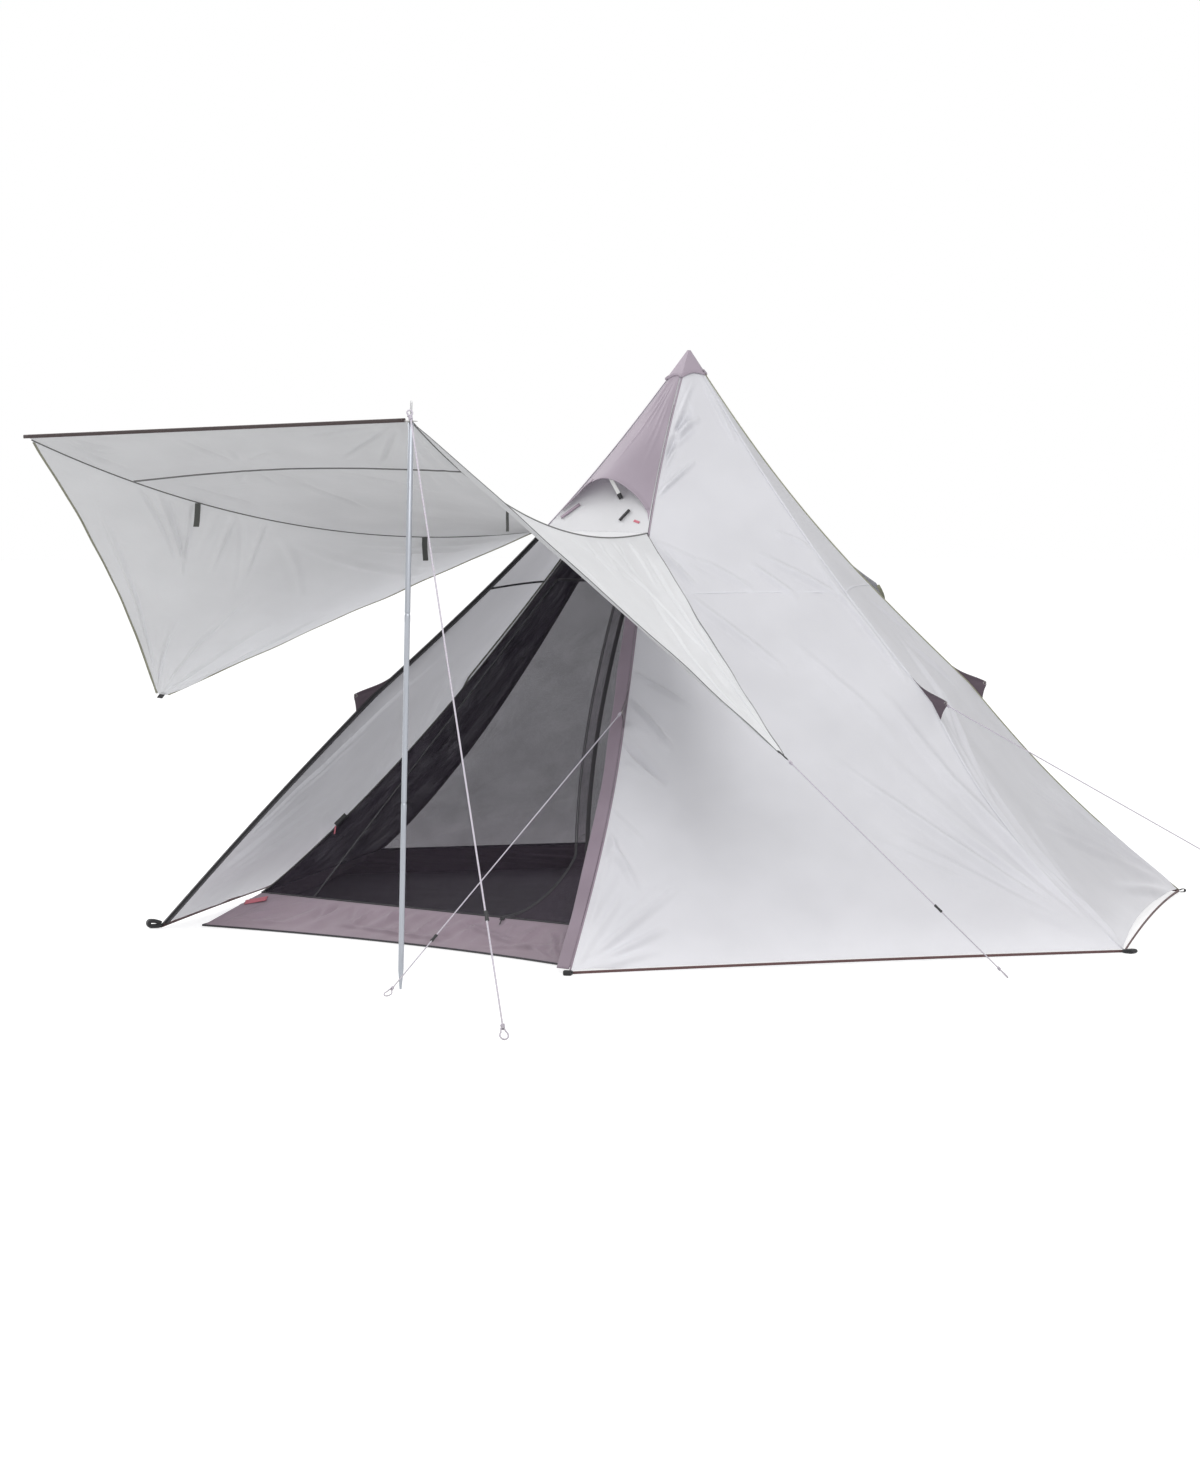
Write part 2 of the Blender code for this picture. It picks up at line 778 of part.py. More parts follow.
def awning_rear(side):
    """Rear corner of the awning on the ridge at the top of the door, left or right."""
    return ridge_point(0 if side < 0 else 1, DOOR_TOP)


def awning_front(side):
    """Front corner of the awning's cloth, which stops short of the pole on the right."""
    if side < 0:
        return AWNING_FRONT_LEFT.copy()
    inward = (awning_rear(1) - AWNING_FRONT_RIGHT) + (AWNING_FRONT_LEFT - AWNING_FRONT_RIGHT)
    inward.z = 0.0
    return AWNING_FRONT_RIGHT + inward.normalized() * POLE_CORNER_INSET


def smooth_awning_seam(side, share):
    """Point on a sagging seam between roof and wing, from the rear corner to the front one."""
    point = blend(awning_rear(side), awning_front(side), share)
    return point - UP * (AWNING_SEAM_SAG * arch(share))


def awning_seam(side, share):
    """Point on the seam's straight runs, which its roof, wing and piping share."""
    row = min(int(share * AWNING_ROWS), AWNING_ROWS - 1)
    low = smooth_awning_seam(side, row / AWNING_ROWS)
    high = smooth_awning_seam(side, (row + 1) / AWNING_ROWS)
    return blend(low, high, share * AWNING_ROWS - row)


def seam_shares(start, stop):
    """Shares of the seam's length at its ends and at each bend between them."""
    bends = [row / AWNING_ROWS for row in range(1, AWNING_ROWS)]
    return [start] + [share for share in bends if start < share < stop] + [stop]


def seam_ends(side):
    """Shares of the seam's length where its piping and the wing start and stop."""
    length = (awning_front(side) - awning_rear(side)).length
    return SEAM_END_CLEARANCE / length, 1.0 - SEAM_END_CLEARANCE / length


def roof_point(across, along):
    """Point on the awning's roof, from left to right and from rear to front."""
    left = awning_seam(-1, along)
    right = awning_seam(1, along)
    way = (right - left).normalized()
    near_rear = max(0.0, 1.0 - along / AWNING_REAR_SHARE)
    inset = PIPING_RADIUS + 2 * GAP + (AWNING_REAR_INSET - PIPING_RADIUS) * near_rear
    point = blend(left + way * inset, right - way * inset, across)
    crown = AWNING_CROWN * math.sin(math.pi * across) * arch(along)
    return point + UP * crown


def roof_ends():
    """Shares along the roof where its cloth starts, by the vent panel, and stops, by the binding."""
    length = (awning_front(-1) - awning_rear(-1)).length
    return 2 * GAP / length, 1.0 - (BINDING_RADIUS + 2 * GAP) / length


def awning_roof(finish):
    """Roof of the awning: the middle of the door panel."""
    rows = []
    for along in seam_shares(*roof_ends()):
        rows.append([roof_point(across, along) for across in steps(1, 0, AWNING_COLUMNS)])
    sheet("awning_roof", rows, finish)


def wing_corner(side):
    """Hanging corner of a wing."""
    return (AWNING_WING_LEFT if side < 0 else AWNING_WING_RIGHT).copy()


def wing_direction(side):
    """Direction from the middle of a wing's seam to its hanging corner, square to its cut tip."""
    return (wing_corner(side) - awning_seam(side, 0.5)).normalized()


def wing_point(side, along, down):
    """Point on a wing: rulings fan from the seam to its corner, and its front edge is cut in."""
    corner = wing_corner(side)
    top = awning_seam(side, along)
    length = (corner - top).length
    inward = (awning_rear(side) - awning_front(side)).normalized()
    squareness = (corner - top).cross(inward).length / length
    low = (PIPING_RADIUS + 3 * GAP) / squareness / length
    high = 1.0 - WING_TIP / (corner - top).dot(wing_direction(side))
    way = low + (high - low) * down
    wave = math.sin(math.pi * down)
    belly = WING_BELLY * wave * math.sin(math.pi * along)
    out = Vector((side * WING_BELLY_OUT_SHARE, 0.0, 0.0))
    bow = WING_EDGE_BOW * wave * along ** 3
    return blend(top, corner, way) + inward * bow + (out - UP) * belly


def awning_wings(finish):
    """Two wings of the awning, hanging from its side seams."""
    for side, name in ((-1, "left"), (1, "right")):
        rows = []
        for down in steps(0, 1, WING_ROWS):
            row = [wing_point(side, along, down) for along in seam_shares(*seam_ends(side))]
            rows.append(row if side < 0 else row[::-1])
        sheet("awning_wing_" + name, rows, finish)


def wing_tip(side):
    """Middle of a wing's cut tip, and the direction along the cut."""
    ends = [wing_point(side, along, 1.0) for along in seam_ends(side)]
    return (ends[0] + ends[1]) / 2, (ends[1] - ends[0]).normalized()


def awning_edges(binding_finish, piping_finish):
    """Binding along the awning's front edge, and the piping of its two seams."""
    left = awning_front(-1)
    right = awning_front(1)
    along = (right - left).normalized()
    ends = (left - along * CORNER_TAB_LENGTH, right - along * SEAM_END_CLEARANCE)
    points = [blend(*ends, share) for share in steps(0, 1, BINDING_POINTS)]
    tube("awning_front_binding", points, BINDING_RADIUS, binding_finish)
    for side, name in ((-1, "awning_seam_left"), (1, "awning_seam_right")):
        points = [awning_seam(side, share) for share in seam_shares(*seam_ends(side))]
        tube(name, points, PIPING_RADIUS, piping_finish)


def tie_places():
    """Names, hinge points and hinge directions of the four ties that hang from the awning's seams."""
    places = {}
    for name, share in TIE_SHARES.items():
        side = -1 if name.startswith("left") else 1
        reach = TIE_WIDTH / (awning_front(side) - awning_rear(side)).length / 2
        along = (awning_seam(side, share + reach) - awning_seam(side, share - reach)).normalized()
        square = (along * UP.dot(along) - UP).normalized()
        middle = awning_seam(side, share) + square * (PIPING_RADIUS + 2 * GAP)
        places["door_tie_" + name] = (middle, along)
    return places


def door_ties(finish):
    """Webbing ties that hang from the awning's seams, each turning about its sewn end."""
    for name, (place, along) in tie_places().items():
        thick = along.cross(UP).normalized() * (TIE_THICKNESS / 2)
        half = along * (TIE_WIDTH / 2)
        drop = UP * -TIE_LENGTH

        def build(shape):
            outline = (-half, half, half + drop, drop - half)
            front = [shape.verts.new(point + thick) for point in outline]
            back = [shape.verts.new(point - thick) for point in outline]
            shape.faces.new(front)
            shape.faces.new(back[::-1])
            for i in range(len(outline)):
                j = (i + 1) % len(outline)
                shape.faces.new((front[i], back[i], back[j], front[j]))

        item = add_object(name, mesh_from(name, build), finish)
        item.location = place


# Poles

def pole_profile(radius, length, neck):
    """Profile of a pole section, with a waist where its joint goes into the next one."""
    points = [(0.0, 0.0), (radius, 0.0)]
    if neck:
        points += [
            (radius, length - JOINT_NECK_LENGTH),
            (radius - JOINT_NECK_DEPTH, length - JOINT_NECK_LENGTH + JOINT_NECK_DEPTH),
            (radius - JOINT_NECK_DEPTH, length),
        ]
    else:
        points.append((radius, length))
    return points + [(0.0, length)]


def awning_pole_axis():
    """Direction of the awning pole, from its foot to its spike."""
    return (AWNING_FRONT_RIGHT - AWNING_POLE_FOOT).normalized()


def awning_pole(finish):
    """Jointed pole under the awning's right corner, with a tapered foot and a steel spike."""
    axis = awning_pole_axis()
    whole = (AWNING_FRONT_RIGHT - AWNING_POLE_FOOT).length - grommet_drop() - GROMMET_THICKNESS / 2 - GAP
    tilt_drop = AWNING_POLE_RADIUS * math.sqrt(1.0 - axis.z ** 2) / axis.z
    section = whole / AWNING_POLE_SECTIONS
    for number, name in enumerate(("lower", "middle", "upper")):
        start = section * number + (GAP if number else 0.0)
        length = section * (number + 1) - start
        profile = pole_profile(AWNING_POLE_RADIUS, length, number < AWNING_POLE_SECTIONS - 1)
        if number == 0:
            taper = [
                (0.0, tilt_drop),
                (AWNING_POLE_RADIUS * FOOT_TIP_SHARE, tilt_drop),
                (AWNING_POLE_RADIUS, AWNING_FOOT_LENGTH),
            ]
            profile = taper + profile[2:]
        base = AWNING_POLE_FOOT + axis * start
        turned("awning_pole_" + name, profile, base, axis, finish, AWNING_POLE_STEPS)
    spike = [
        (0.0, 0.0),
        (SPIKE_RADIUS, 0.0),
        (SPIKE_RADIUS, SPIKE_LENGTH * SPIKE_SHOULDER_SHARE),
        (SPIKE_RADIUS / 2, SPIKE_LENGTH),
        (0.0, SPIKE_LENGTH),
    ]
    base = AWNING_POLE_FOOT + axis * (whole + GAP)
    turned("awning_pole_spike", spike, base, axis, finish, AWNING_POLE_STEPS)


def grommet_arm():
    """Way from the top of the pole to the corner of the awning's roof."""
    return roof_point(1.0, roof_ends()[1]) - AWNING_FRONT_RIGHT


def grommet_drop():
    """How far the roof's corner hangs below the point where the awning's edges meet."""
    return CLOTH / 2 - grommet_arm().dot(awning_pole_axis())


def grommet_radius():
    """Outer radius of the corner grommet, which reaches the corner of the awning's roof."""
    arm = grommet_arm()
    axis = awning_pole_axis()
    return (arm - axis * arm.dot(axis)).length - GAP


def awning_grommet(finish):
    """Eyelet at the awning's right corner, on the spike of the pole."""
    inner = SPIKE_RADIUS + GROMMET_CLEARANCE
    outer = grommet_radius()
    profile = [
        (inner, 0.0),
        (outer, 0.0),
        (outer, GROMMET_THICKNESS),
        (inner, GROMMET_THICKNESS),
    ]
    axis = awning_pole_axis()
    base = AWNING_FRONT_RIGHT - axis * (grommet_drop() + GROMMET_THICKNESS / 2 - GAP)
    turned("awning_grommet", profile, base, axis, finish, bore=True)


def centre_pole(tube_finish, foot_finish):
    """Jointed pole in the middle of the tent, from the groundsheet to the cap."""
    base = CLOTH + GAP
    collar = CENTRE_POLE_RADIUS * CENTRE_FOOT_COLLAR_SHARE
    foot = [
        (0.0, 0.0),
        (CENTRE_FOOT_RADIUS, 0.0),
        (CENTRE_FOOT_RADIUS, CENTRE_FOOT_HEIGHT * CENTRE_FOOT_RIM_SHARE),
        (collar, CENTRE_FOOT_HEIGHT * CENTRE_FOOT_SLOPE_SHARE),
        (collar, CENTRE_FOOT_HEIGHT),
        (0.0, CENTRE_FOOT_HEIGHT),
    ]
    turned("centre_pole_foot", foot, UP * base, UP, foot_finish)
    bottom = base + CENTRE_FOOT_HEIGHT + GAP
    section = (FLY_TOP - bottom) / CENTRE_POLE_SECTIONS
    for number, name in enumerate(("lower", "upper")):
        profile = pole_profile(CENTRE_POLE_RADIUS, section - GAP, number == 0)
        turned("centre_pole_" + name, profile, UP * (bottom + section * number), UP, tube_finish)
    ceiling = cap_ceiling() - GAP
    height = ceiling - FLY_TOP
    top = [
        (0.0, 0.0),
        (CENTRE_POLE_RADIUS, 0.0),
        (CENTRE_POLE_RADIUS, height * CENTRE_TOP_SHARE),
        (CENTRE_POLE_RADIUS * CENTRE_TOP_SHARE, height),
        (0.0, height),
    ]
    turned("centre_pole_top", top, UP * FLY_TOP, UP, foot_finish)


def cap_ceiling():
    """Height of the flat underside inside the cap's point."""
    return CAP_BOTTOM + (APEX_HEIGHT - CAP_BOTTOM) * (CAP_ROWS - 1) / CAP_ROWS


# Inner tent

def inner_radius(height):
    """Ridge radius of the inner tent: a straight fall, drawn in most in its lower half."""
    rise = height / INNER_APEX
    sag = INNER_SAG * math.sin(math.pi * rise ** INNER_SAG_POWER_SHARE)
    return INNER_RADIUS * (1.0 - rise) - sag


def front_plane_y(height):
    """Depth of the inner tent's flat front at a height."""
    apothem = math.cos(math.pi / SIDES)
    low = -inner_radius(BATHTUB_HEIGHT) * apothem
    high = -inner_radius(INNER_TOP) * apothem
    return low + (high - low) * (height - BATHTUB_HEIGHT) / (INNER_TOP - BATHTUB_HEIGHT)


def front_half_width(height):
    """Half width of the inner tent's front at a height, its edges curving in."""
    low = inner_radius(BATHTUB_HEIGHT) * math.sin(math.pi / SIDES)
    high = inner_radius(INNER_TOP) * math.sin(math.pi / SIDES)
    way = (height - BATHTUB_HEIGHT) / (INNER_TOP - BATHTUB_HEIGHT)
    bow = FRONT_BOW * math.sin(math.pi * max(way, 0.0) ** FRONT_BOW_POWER_SHARE)
    return low + (high - low) * way - bow


def inner_heights():
    """Heights of the inner panels' rows."""
    return steps(BATHTUB_HEIGHT + GAP, INNER_TOP, INNER_ROWS)


def inner_edge(index, height):
    """Point on a ridge of the inner tent; the two front ridges lie in its flat front."""
    index %= SIDES
    if index in (0, 1):
        side = -1.0 if index == 0 else 1.0
        return Vector((side * front_half_width(height), front_plane_y(height), height))
    return corner_direction(index) * inner_radius(height) + UP * height


def inner_inset():
    """How far an inner panel stays from its ridge, to clear the tape."""
    return (TAPE_WIDTH / 2 + GAP) / math.cos(math.pi / SIDES)


def inner_panels(finish):
    """Five mesh panels of the inner tent."""
    names = ("front_right", "back_right", "back", "back_left", "front_left")
    for index, name in enumerate(names, start=1):
        rows = []
        for height in inner_heights():
            left = inner_edge(index, height)
            right = inner_edge(index + 1, height)
            along = (right - left).normalized()
            ends = (left + along * inner_inset(), right - along * inner_inset())
            rows.append([blend(*ends, share) for share in steps(0, 1, INNER_COLUMNS)])
        sheet("inner_panel_" + name, rows, finish)


def head_outside(index, height):
    """Outer corner of the inner tent's head plate, at the end of a tape."""
    reach = inner_edge(index, height).xy.length + TAPE_THICKNESS / 2
    return corner_direction(index) * reach + UP * height


def head_inside(index, height):
    """Corner of the opening in the head plate, which hangs the inner tent on the centre pole."""
    opening = (CENTRE_POLE_RADIUS + HEAD_OPENING_PLAY) / math.cos(math.pi / SIDES)
    return corner_direction(index) * opening + UP * height


def inner_ridge_tapes(finish):
    """Tapes along the inner tent's six ridges, joined by a head plate round the centre pole."""
    def build(shape):
        heights = inner_heights() + [INNER_TOP + COLLAR_HEIGHT]
        for index in range(SIDES):
            ray = corner_direction(index)
            side = UP.cross(ray)
            points = [inner_edge(index, height) for height in heights]
            count = len(points)
            ribbon(shape, points, [side] * count, [ray] * count, TAPE_WIDTH, TAPE_THICKNESS)

    def collar(shape):
        low = INNER_TOP + 2 * GAP
        high = INNER_TOP + COLLAR_HEIGHT - GAP
        hexagon_ring(shape, low, high, head_outside, head_inside)

    item = add_object("inner_ridge_tapes", mesh_from("inner_ridge_tapes", build), finish)
    unite(item, collar)


def inner_floor(finish):
    """Groundsheet, flat on the ground."""
    outline = []
    for index in range(SIDES):
        outline += [tub_point(index, share, 0.0) for share in steps(0, 1, BATHTUB_COLUMNS)[:-1]]
    flat_sheet("inner_floor", [Vector((point.x, point.y, CLOTH)) for point in outline], finish)


def tub_point(index, share, way):
    """Point on the bathtub wall: its foot is drawn in between the corners, its top is straight."""
    foot = 2 * CLOTH + GAP
    height = foot + (BATHTUB_HEIGHT - foot) * way
    radius = INNER_RADIUS + (inner_radius(BATHTUB_HEIGHT) - INNER_RADIUS) * way
    left = corner_direction(index) * radius
    right = corner_direction((index + 1) % SIDES) * radius
    bow = BATHTUB_FRONT_BOW if index == 0 else BATHTUB_BOW
    drawn = bow * arch(share) * (1.0 - way)
    return blend(left, right, share) - outward(index) * drawn + UP * height


def inner_bathtub(finish):
    """Raised wall round the groundsheet."""
    rows = []
    for way in steps(0, 1, BATHTUB_ROWS):
        row = []
        for index in range(SIDES):
            row += [tub_point(index, share, way) for share in steps(0, 1, BATHTUB_COLUMNS)[:-1]]
        rows.append(row)
    sheet("inner_bathtub", rows, finish, closed=True)


def front_point(x, height):
    """Point on the inner tent's flat front."""
    return Vector((x, front_plane_y(height), height))


def hinge_x(height):
    """Place across the front of the inner door's hinge line at a height."""
    foot = BATHTUB_HEIGHT
    way = (height - foot) / (INNER_DOOR_TOP - foot)
    return -INNER_DOOR_HINGE_FOOT + (INNER_DOOR_HINGE_FOOT - INNER_DOOR_HINGE_HEAD) * way


def door_right_edge():
    """Zip line of the inner door, as (across, height) pairs: down its right side, round the corner."""
    foot = BATHTUB_HEIGHT + DOOR_GAP
    radius = INNER_DOOR_CORNER_RADIUS
    heights = steps(INNER_DOOR_TOP, foot + radius, INNER_DOOR_ROWS)
    line = [(front_half_width(height) - INNER_DOOR_MARGIN, height) for height in heights]
    edge_x = line[-1][0]
    for turn in steps(0.0, math.pi / 2, INNER_DOOR_CORNER_STEPS)[1:]:
        x = edge_x - radius * (1.0 - math.cos(turn))
        line.append((x, foot + radius * (1.0 - math.sin(turn))))
    return line


def inner_front(finish):
    """Fixed mesh of the inner front: strips beside the door and the part above it, in one sheet."""
    foot = BATHTUB_HEIGHT + GAP
    inset = inner_inset()
    heights = steps(foot, INNER_TOP, INNER_FRONT_ROWS)
    outline = [front_point(-front_half_width(h) + inset, h) for h in heights[::-1]]
    outline.append(front_point(hinge_x(foot) - DOOR_GAP, foot))
    outline.append(front_point(hinge_x(INNER_DOOR_TOP) - DOOR_GAP, INNER_DOOR_TOP + DOOR_GAP))
    zip_line = door_right_edge()
    outline.append(front_point(zip_line[0][0] + DOOR_GAP, INNER_DOOR_TOP + DOOR_GAP))
    outline += [front_point(x + DOOR_GAP, h) for x, h in zip_line[1:-1]]
    outline.append(front_point(zip_line[-1][0] + DOOR_GAP, foot))
    outline += [front_point(front_half_width(h) - inset, h) for h in heights]
    flat_sheet("inner_front", outline, finish)


def inner_door(finish):
    """Mesh door, hinged along its left edge and zipped round the other sides."""
    foot = BATHTUB_HEIGHT + DOOR_GAP
    outline = [front_point(hinge_x(INNER_DOOR_TOP) + DOOR_GAP, INNER_DOOR_TOP)]
    outline.append(front_point(hinge_x(foot) + DOOR_GAP, foot))
    outline += [front_point(x - DOOR_GAP, h) for x, h in door_right_edge()[::-1]]
    hinge = front_point(hinge_x(foot), foot)
    item = flat_sheet("inner_door", [point - hinge for point in outline], finish)
    item.location = hinge


def slider_frame():
    """Place of the inner door's slider on the bathtub wall, and the wall's slope there."""
    share = 0.5 + ZIP_SLIDER_X / inner_radius(BATHTUB_HEIGHT)
    high = tub_point(0, share, 1.0)
    slope = (high - tub_point(0, share, 0.0)).normalized()
    normal = slope.cross(Vector((1.0, 0.0, 0.0))).normalized()
    if normal.y > 0:
        normal = -normal
    place = high - slope * (SLIDER_WIDTH / 2 + SLIDER_DROP) + normal * (SLIDER_HEIGHT / 2 + 2 * GAP)
    return place, slope


def inner_door_slider(finish):
    """Slider of the inner door's zip, on the bathtub's front edge."""
    place, slope = slider_frame()

    def build(shape):
        size = (SLIDER_LENGTH, SLIDER_WIDTH, SLIDER_HEIGHT)
        box(shape, Vector((0.0, 0.0, 0.0)), Vector((1.0, 0.0, 0.0)), slope, size)

    item = add_object("inner_door_slider", mesh_from("inner_door_slider", build), finish)
    item.location = place
    bevel(item, SLIDER_HEIGHT / 4, 1)


# Guy lines

def eye(centre, along, side, radius, cord):
    """Points round an eye at the end of a cord, from the neck round and back to it."""
    opening = math.radians(EYE_OPENING_DEG)
    points = []
    for turn in steps(opening, -opening, GUY_EYE_POINTS - 1):
        points.append(centre + (along * math.cos(turn) + side * math.sin(turn)) * radius)
    points.append(centre - along * (radius * EYE_CLOSE_SHARE) - side * (cord * EYE_SIDE_SHARE))
    return points


def cord_clearance(cord, along, face):
    """How far from a face a cord's flat end stays, so that it clears the face at its own slant."""
    slant = along.angle(face)
    return (GAP + cord * math.sin(slant)) / math.cos(slant)


def guy_ends():
    """Fixed point, face or None for an eye, peg and radius of each guy line."""
    spike_eye = AWNING_FRONT_RIGHT + awning_pole_axis() * GUY_EYE_LIFT
    wing_way = wing_direction(1)
    wing_tab_end = wing_tip(1)[0] + wing_way * (2 * GAP + CORNER_TAB_LENGTH)
    return {
        "pole": (spike_eye, None, POLE_GUY_PEG, POLE_GUY_RADIUS),
        "front_right": (fin_tip(1), corner_direction(1), FIN_GUY_PEG, GUY_RADIUS),
        "wing": (wing_tab_end, wing_way, WING_GUY_PEG, GUY_RADIUS),
        "right": (fin_tip(2), corner_direction(2), SIDE_GUY_PEG, GUY_RADIUS),
    }


def guy_routes():
    """Peg end, direction, radius and route of each guy line."""
    routes = {}
    for name, (start, face, peg, cord) in guy_ends().items():
        slope = (peg - start).normalized().z
        end = peg + UP * (cord + GAP + GUY_EYE_RADIUS * abs(slope))
        along = (end - start).normalized()
        side = UP.cross(along).normalized()
        neck = end - along * (GUY_EYE_RADIUS * EYE_NECK_SHARE)
        points = []
        if face is None:
            head = start + along * (GUY_EYE_RADIUS * EYE_NECK_SHARE)
            points += eye(start, -along, side, GUY_EYE_RADIUS, cord)[::-1]
        else:
            head = start + along * cord_clearance(cord, along, face)
        points += [blend(head, neck, share) for share in steps(0, 1, GUY_STRAIGHT_POINTS - 1)]
        points += eye(end, along, side, GUY_EYE_RADIUS, cord)
        routes[name] = (end, along, cord, points)
    return routes


def guy_lines(finish):
    """Four taut guy lines, each ending in an eye on the ground."""
    for name, (_, _, cord, points) in guy_routes().items():
        tube("guy_line_" + name, points, cord, finish)


def guy_runners(finish):
    """Runners that slide along the guy lines and tighten them."""
    for name, (end, along, cord, _) in guy_routes().items():
        place = end - along * RUNNER_FROM_PEG[name]
        side = UP.cross(along).normalized()
        rise = along.cross(side)

        def build(shape):
            hole = cord + RUNNER_PLAY
            outline = []
            for turn in steps(0.0, math.tau, RUNNER_STEPS)[:-1]:
                flat = side * math.cos(turn) * (RUNNER_WIDTH / 2)
                outline.append(flat + rise * math.sin(turn) * (RUNNER_THICKNESS / 2))
            bore = []
            for turn in steps(0.0, math.tau, RUNNER_STEPS)[:-1]:
                bore.append((side * math.cos(turn) + rise * math.sin(turn)) * hole)
            half = along * (RUNNER_LENGTH / 2)
            rings = []
            for points, way in ((outline, -1), (outline, 1), (bore, 1), (bore, -1)):
                rings.append([shape.verts.new(point + half * way) for point in points])
            for a, b in zip(rings, rings[1:] + rings[:1]):
                for i in range(len(a)):
                    j = (i + 1) % len(a)
                    shape.faces.new((a[i], a[j], b[j], b[i]))

        item = add_object("guy_runner_" + name, mesh_from("guy_runner_" + name, build), finish)
        item.location = place


def main():
    """Build the tent."""
    clear_scene()
    pale = material("fly_cloth", (0.72, 0.73, 0.76), 0.75)
    cream = material("vent_cloth", (0.80, 0.79, 0.75), 0.8)
    mauve = material("mauve_cloth", (0.43, 0.36, 0.42), 0.8)
    dark_mauve = material("fin_cloth", (0.18, 0.13, 0.15), 0.8)
    tub = material("bathtub_cloth", (0.34, 0.28, 0.32), 0.8)
    mesh = material("inner_mesh", (0.09, 0.08, 0.10), 0.9)
    black = material("black_webbing", (0.02, 0.02, 0.02), 0.8)
    brown = material("binding", (0.11, 0.08, 0.08), 0.8)
    grey = material("grey_cloth", (0.35, 0.35, 0.37), 0.8)
    steel = material("pole_tube", (0.42, 0.44, 0.48), 0.35, 1.0)
    plastic = material("pole_plastic", (0.05, 0.05, 0.05), 0.5)
    white = material("white_plastic", (0.8, 0.8, 0.8), 0.5)
    cord = material("guy_cord", (0.72, 0.68, 0.74), 0.8)

    fly_panels(pale)
    vent_panel(cream)
    ridge_seams(black)
    hem_binding(brown)
    apex_cap(mauve)
    vent_hood(mauve)
    vent_prop(white)
    rear_vent_hood(grey)
    door_edges(mauve, black)
    guy_fins(dark_mauve)
    awning_roof(pale)
    awning_wings(pale)
    wing_tabs(black)
    awning_edges(brown, grey)
    awning_grommet(black)
    door_ties(grey)
    awning_pole(steel)
    centre_pole(steel, plastic)
    inner_floor(mesh)
    inner_bathtub(tub)
    inner_panels(mesh)
    inner_front(mesh)
    inner_ridge_tapes(black)
    inner_door(mesh)
    inner_door_slider(plastic)
    guy_lines(cord)
    guy_runners(plastic)


main()
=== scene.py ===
"""Looks of a six-sided pyramid tent: cloth, netting, webbing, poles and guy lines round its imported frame.

Metres, +Z up. The origin is the centre of the groundsheet, on the ground, and the door faces -Y.
Every surface is a function of two parameters worked out on a grid with numpy, or a profile carried
along a path. The tent's own shape is held in Fly, Awning and InnerTent, and its finishes in the
classes that end in Finish.
"""

import logging
import math
from collections.abc import Callable
from dataclasses import dataclass
from enum import Enum

import bpy
import numpy as np
from mathutils import Matrix, Vector


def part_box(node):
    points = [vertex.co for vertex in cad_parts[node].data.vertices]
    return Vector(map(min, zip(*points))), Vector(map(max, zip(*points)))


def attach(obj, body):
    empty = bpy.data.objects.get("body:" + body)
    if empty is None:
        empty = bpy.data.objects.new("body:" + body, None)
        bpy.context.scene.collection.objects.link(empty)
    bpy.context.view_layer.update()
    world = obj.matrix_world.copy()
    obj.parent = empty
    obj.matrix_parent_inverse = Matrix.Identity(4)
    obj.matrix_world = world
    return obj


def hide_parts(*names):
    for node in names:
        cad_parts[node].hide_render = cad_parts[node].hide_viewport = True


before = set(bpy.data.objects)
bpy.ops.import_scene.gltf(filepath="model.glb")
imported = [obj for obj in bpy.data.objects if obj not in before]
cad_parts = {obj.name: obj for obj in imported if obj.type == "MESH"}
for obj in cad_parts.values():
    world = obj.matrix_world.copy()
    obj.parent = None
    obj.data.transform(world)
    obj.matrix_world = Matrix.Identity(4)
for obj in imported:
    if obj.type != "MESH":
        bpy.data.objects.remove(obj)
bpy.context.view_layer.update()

Array = np.ndarray
Colour = tuple[float, float, float]
Point = tuple[float, float, float]
Pair = tuple[float, float]
Item = bpy.types.Object
Material = bpy.types.Material
Node = bpy.types.Node
Socket = bpy.types.NodeSocket
Sockets = bpy.types.bpy_prop_collection
Tree = bpy.types.NodeTree

LOG = logging.getLogger("tent")
SIDES = 6
UP = np.array([0.0, 0.0, 1.0])
ACROSS = np.array([1.0, 0.0, 0.0])
DUST = (0.30, 0.27, 0.22)
TENT = "tent"
LOOK = "look_"
# Gap kept between two cloths that meet, and the wall of a cloth that has one, in metres
GAP = 0.0003
CLOTH_WALL = 0.0008
# Distances within which vertices are joined: the seam of a ring of cloth, and that of a turned piece
RING_MERGE = 0.00005
SEAM_MERGE = 0.00002
# Edges of a turned piece that bend by more than this stay sharp
SHARP_ANGLE = math.radians(40.0)
# Direction, turned from +X, in which the cap's lower edge is cut highest
BACK_TURN = math.radians(30.0)
# Points along a small fitting
PATCH_POINTS = 12


# Arrays

def unit(vectors: Array) -> Array:
    """Vectors scaled to length one, along the last axis."""
    return vectors / np.maximum(np.linalg.norm(vectors, axis=-1, keepdims=True), 1e-12)


def mix(a: Array, b: Array, share: Array) -> Array:
    """Points a share of the way from one set to another."""
    return a + (b - a) * np.asarray(share)[..., None]


def mix_number(a: float, b: float, share: Array) -> Array:
    """Numbers a share of the way from one to another."""
    return a + (b - a) * share


def arch(share: Array) -> Array:
    """Height of a unit parabola over the way from 0 to 1."""
    return 4.0 * share * (1.0 - share)


def shares_of(columns: int, rows: int) -> tuple[Array, Array]:
    """Shares from 0 to 1 across and along a grid."""
    return np.meshgrid(np.linspace(0.0, 1.0, columns), np.linspace(0.0, 1.0, rows))


def smooth(share: Array) -> Array:
    """Smooth step from 0 to 1, flat at both ends."""
    held = np.clip(share, 0.0, 1.0)
    return held * held * (3.0 - 2.0 * held)


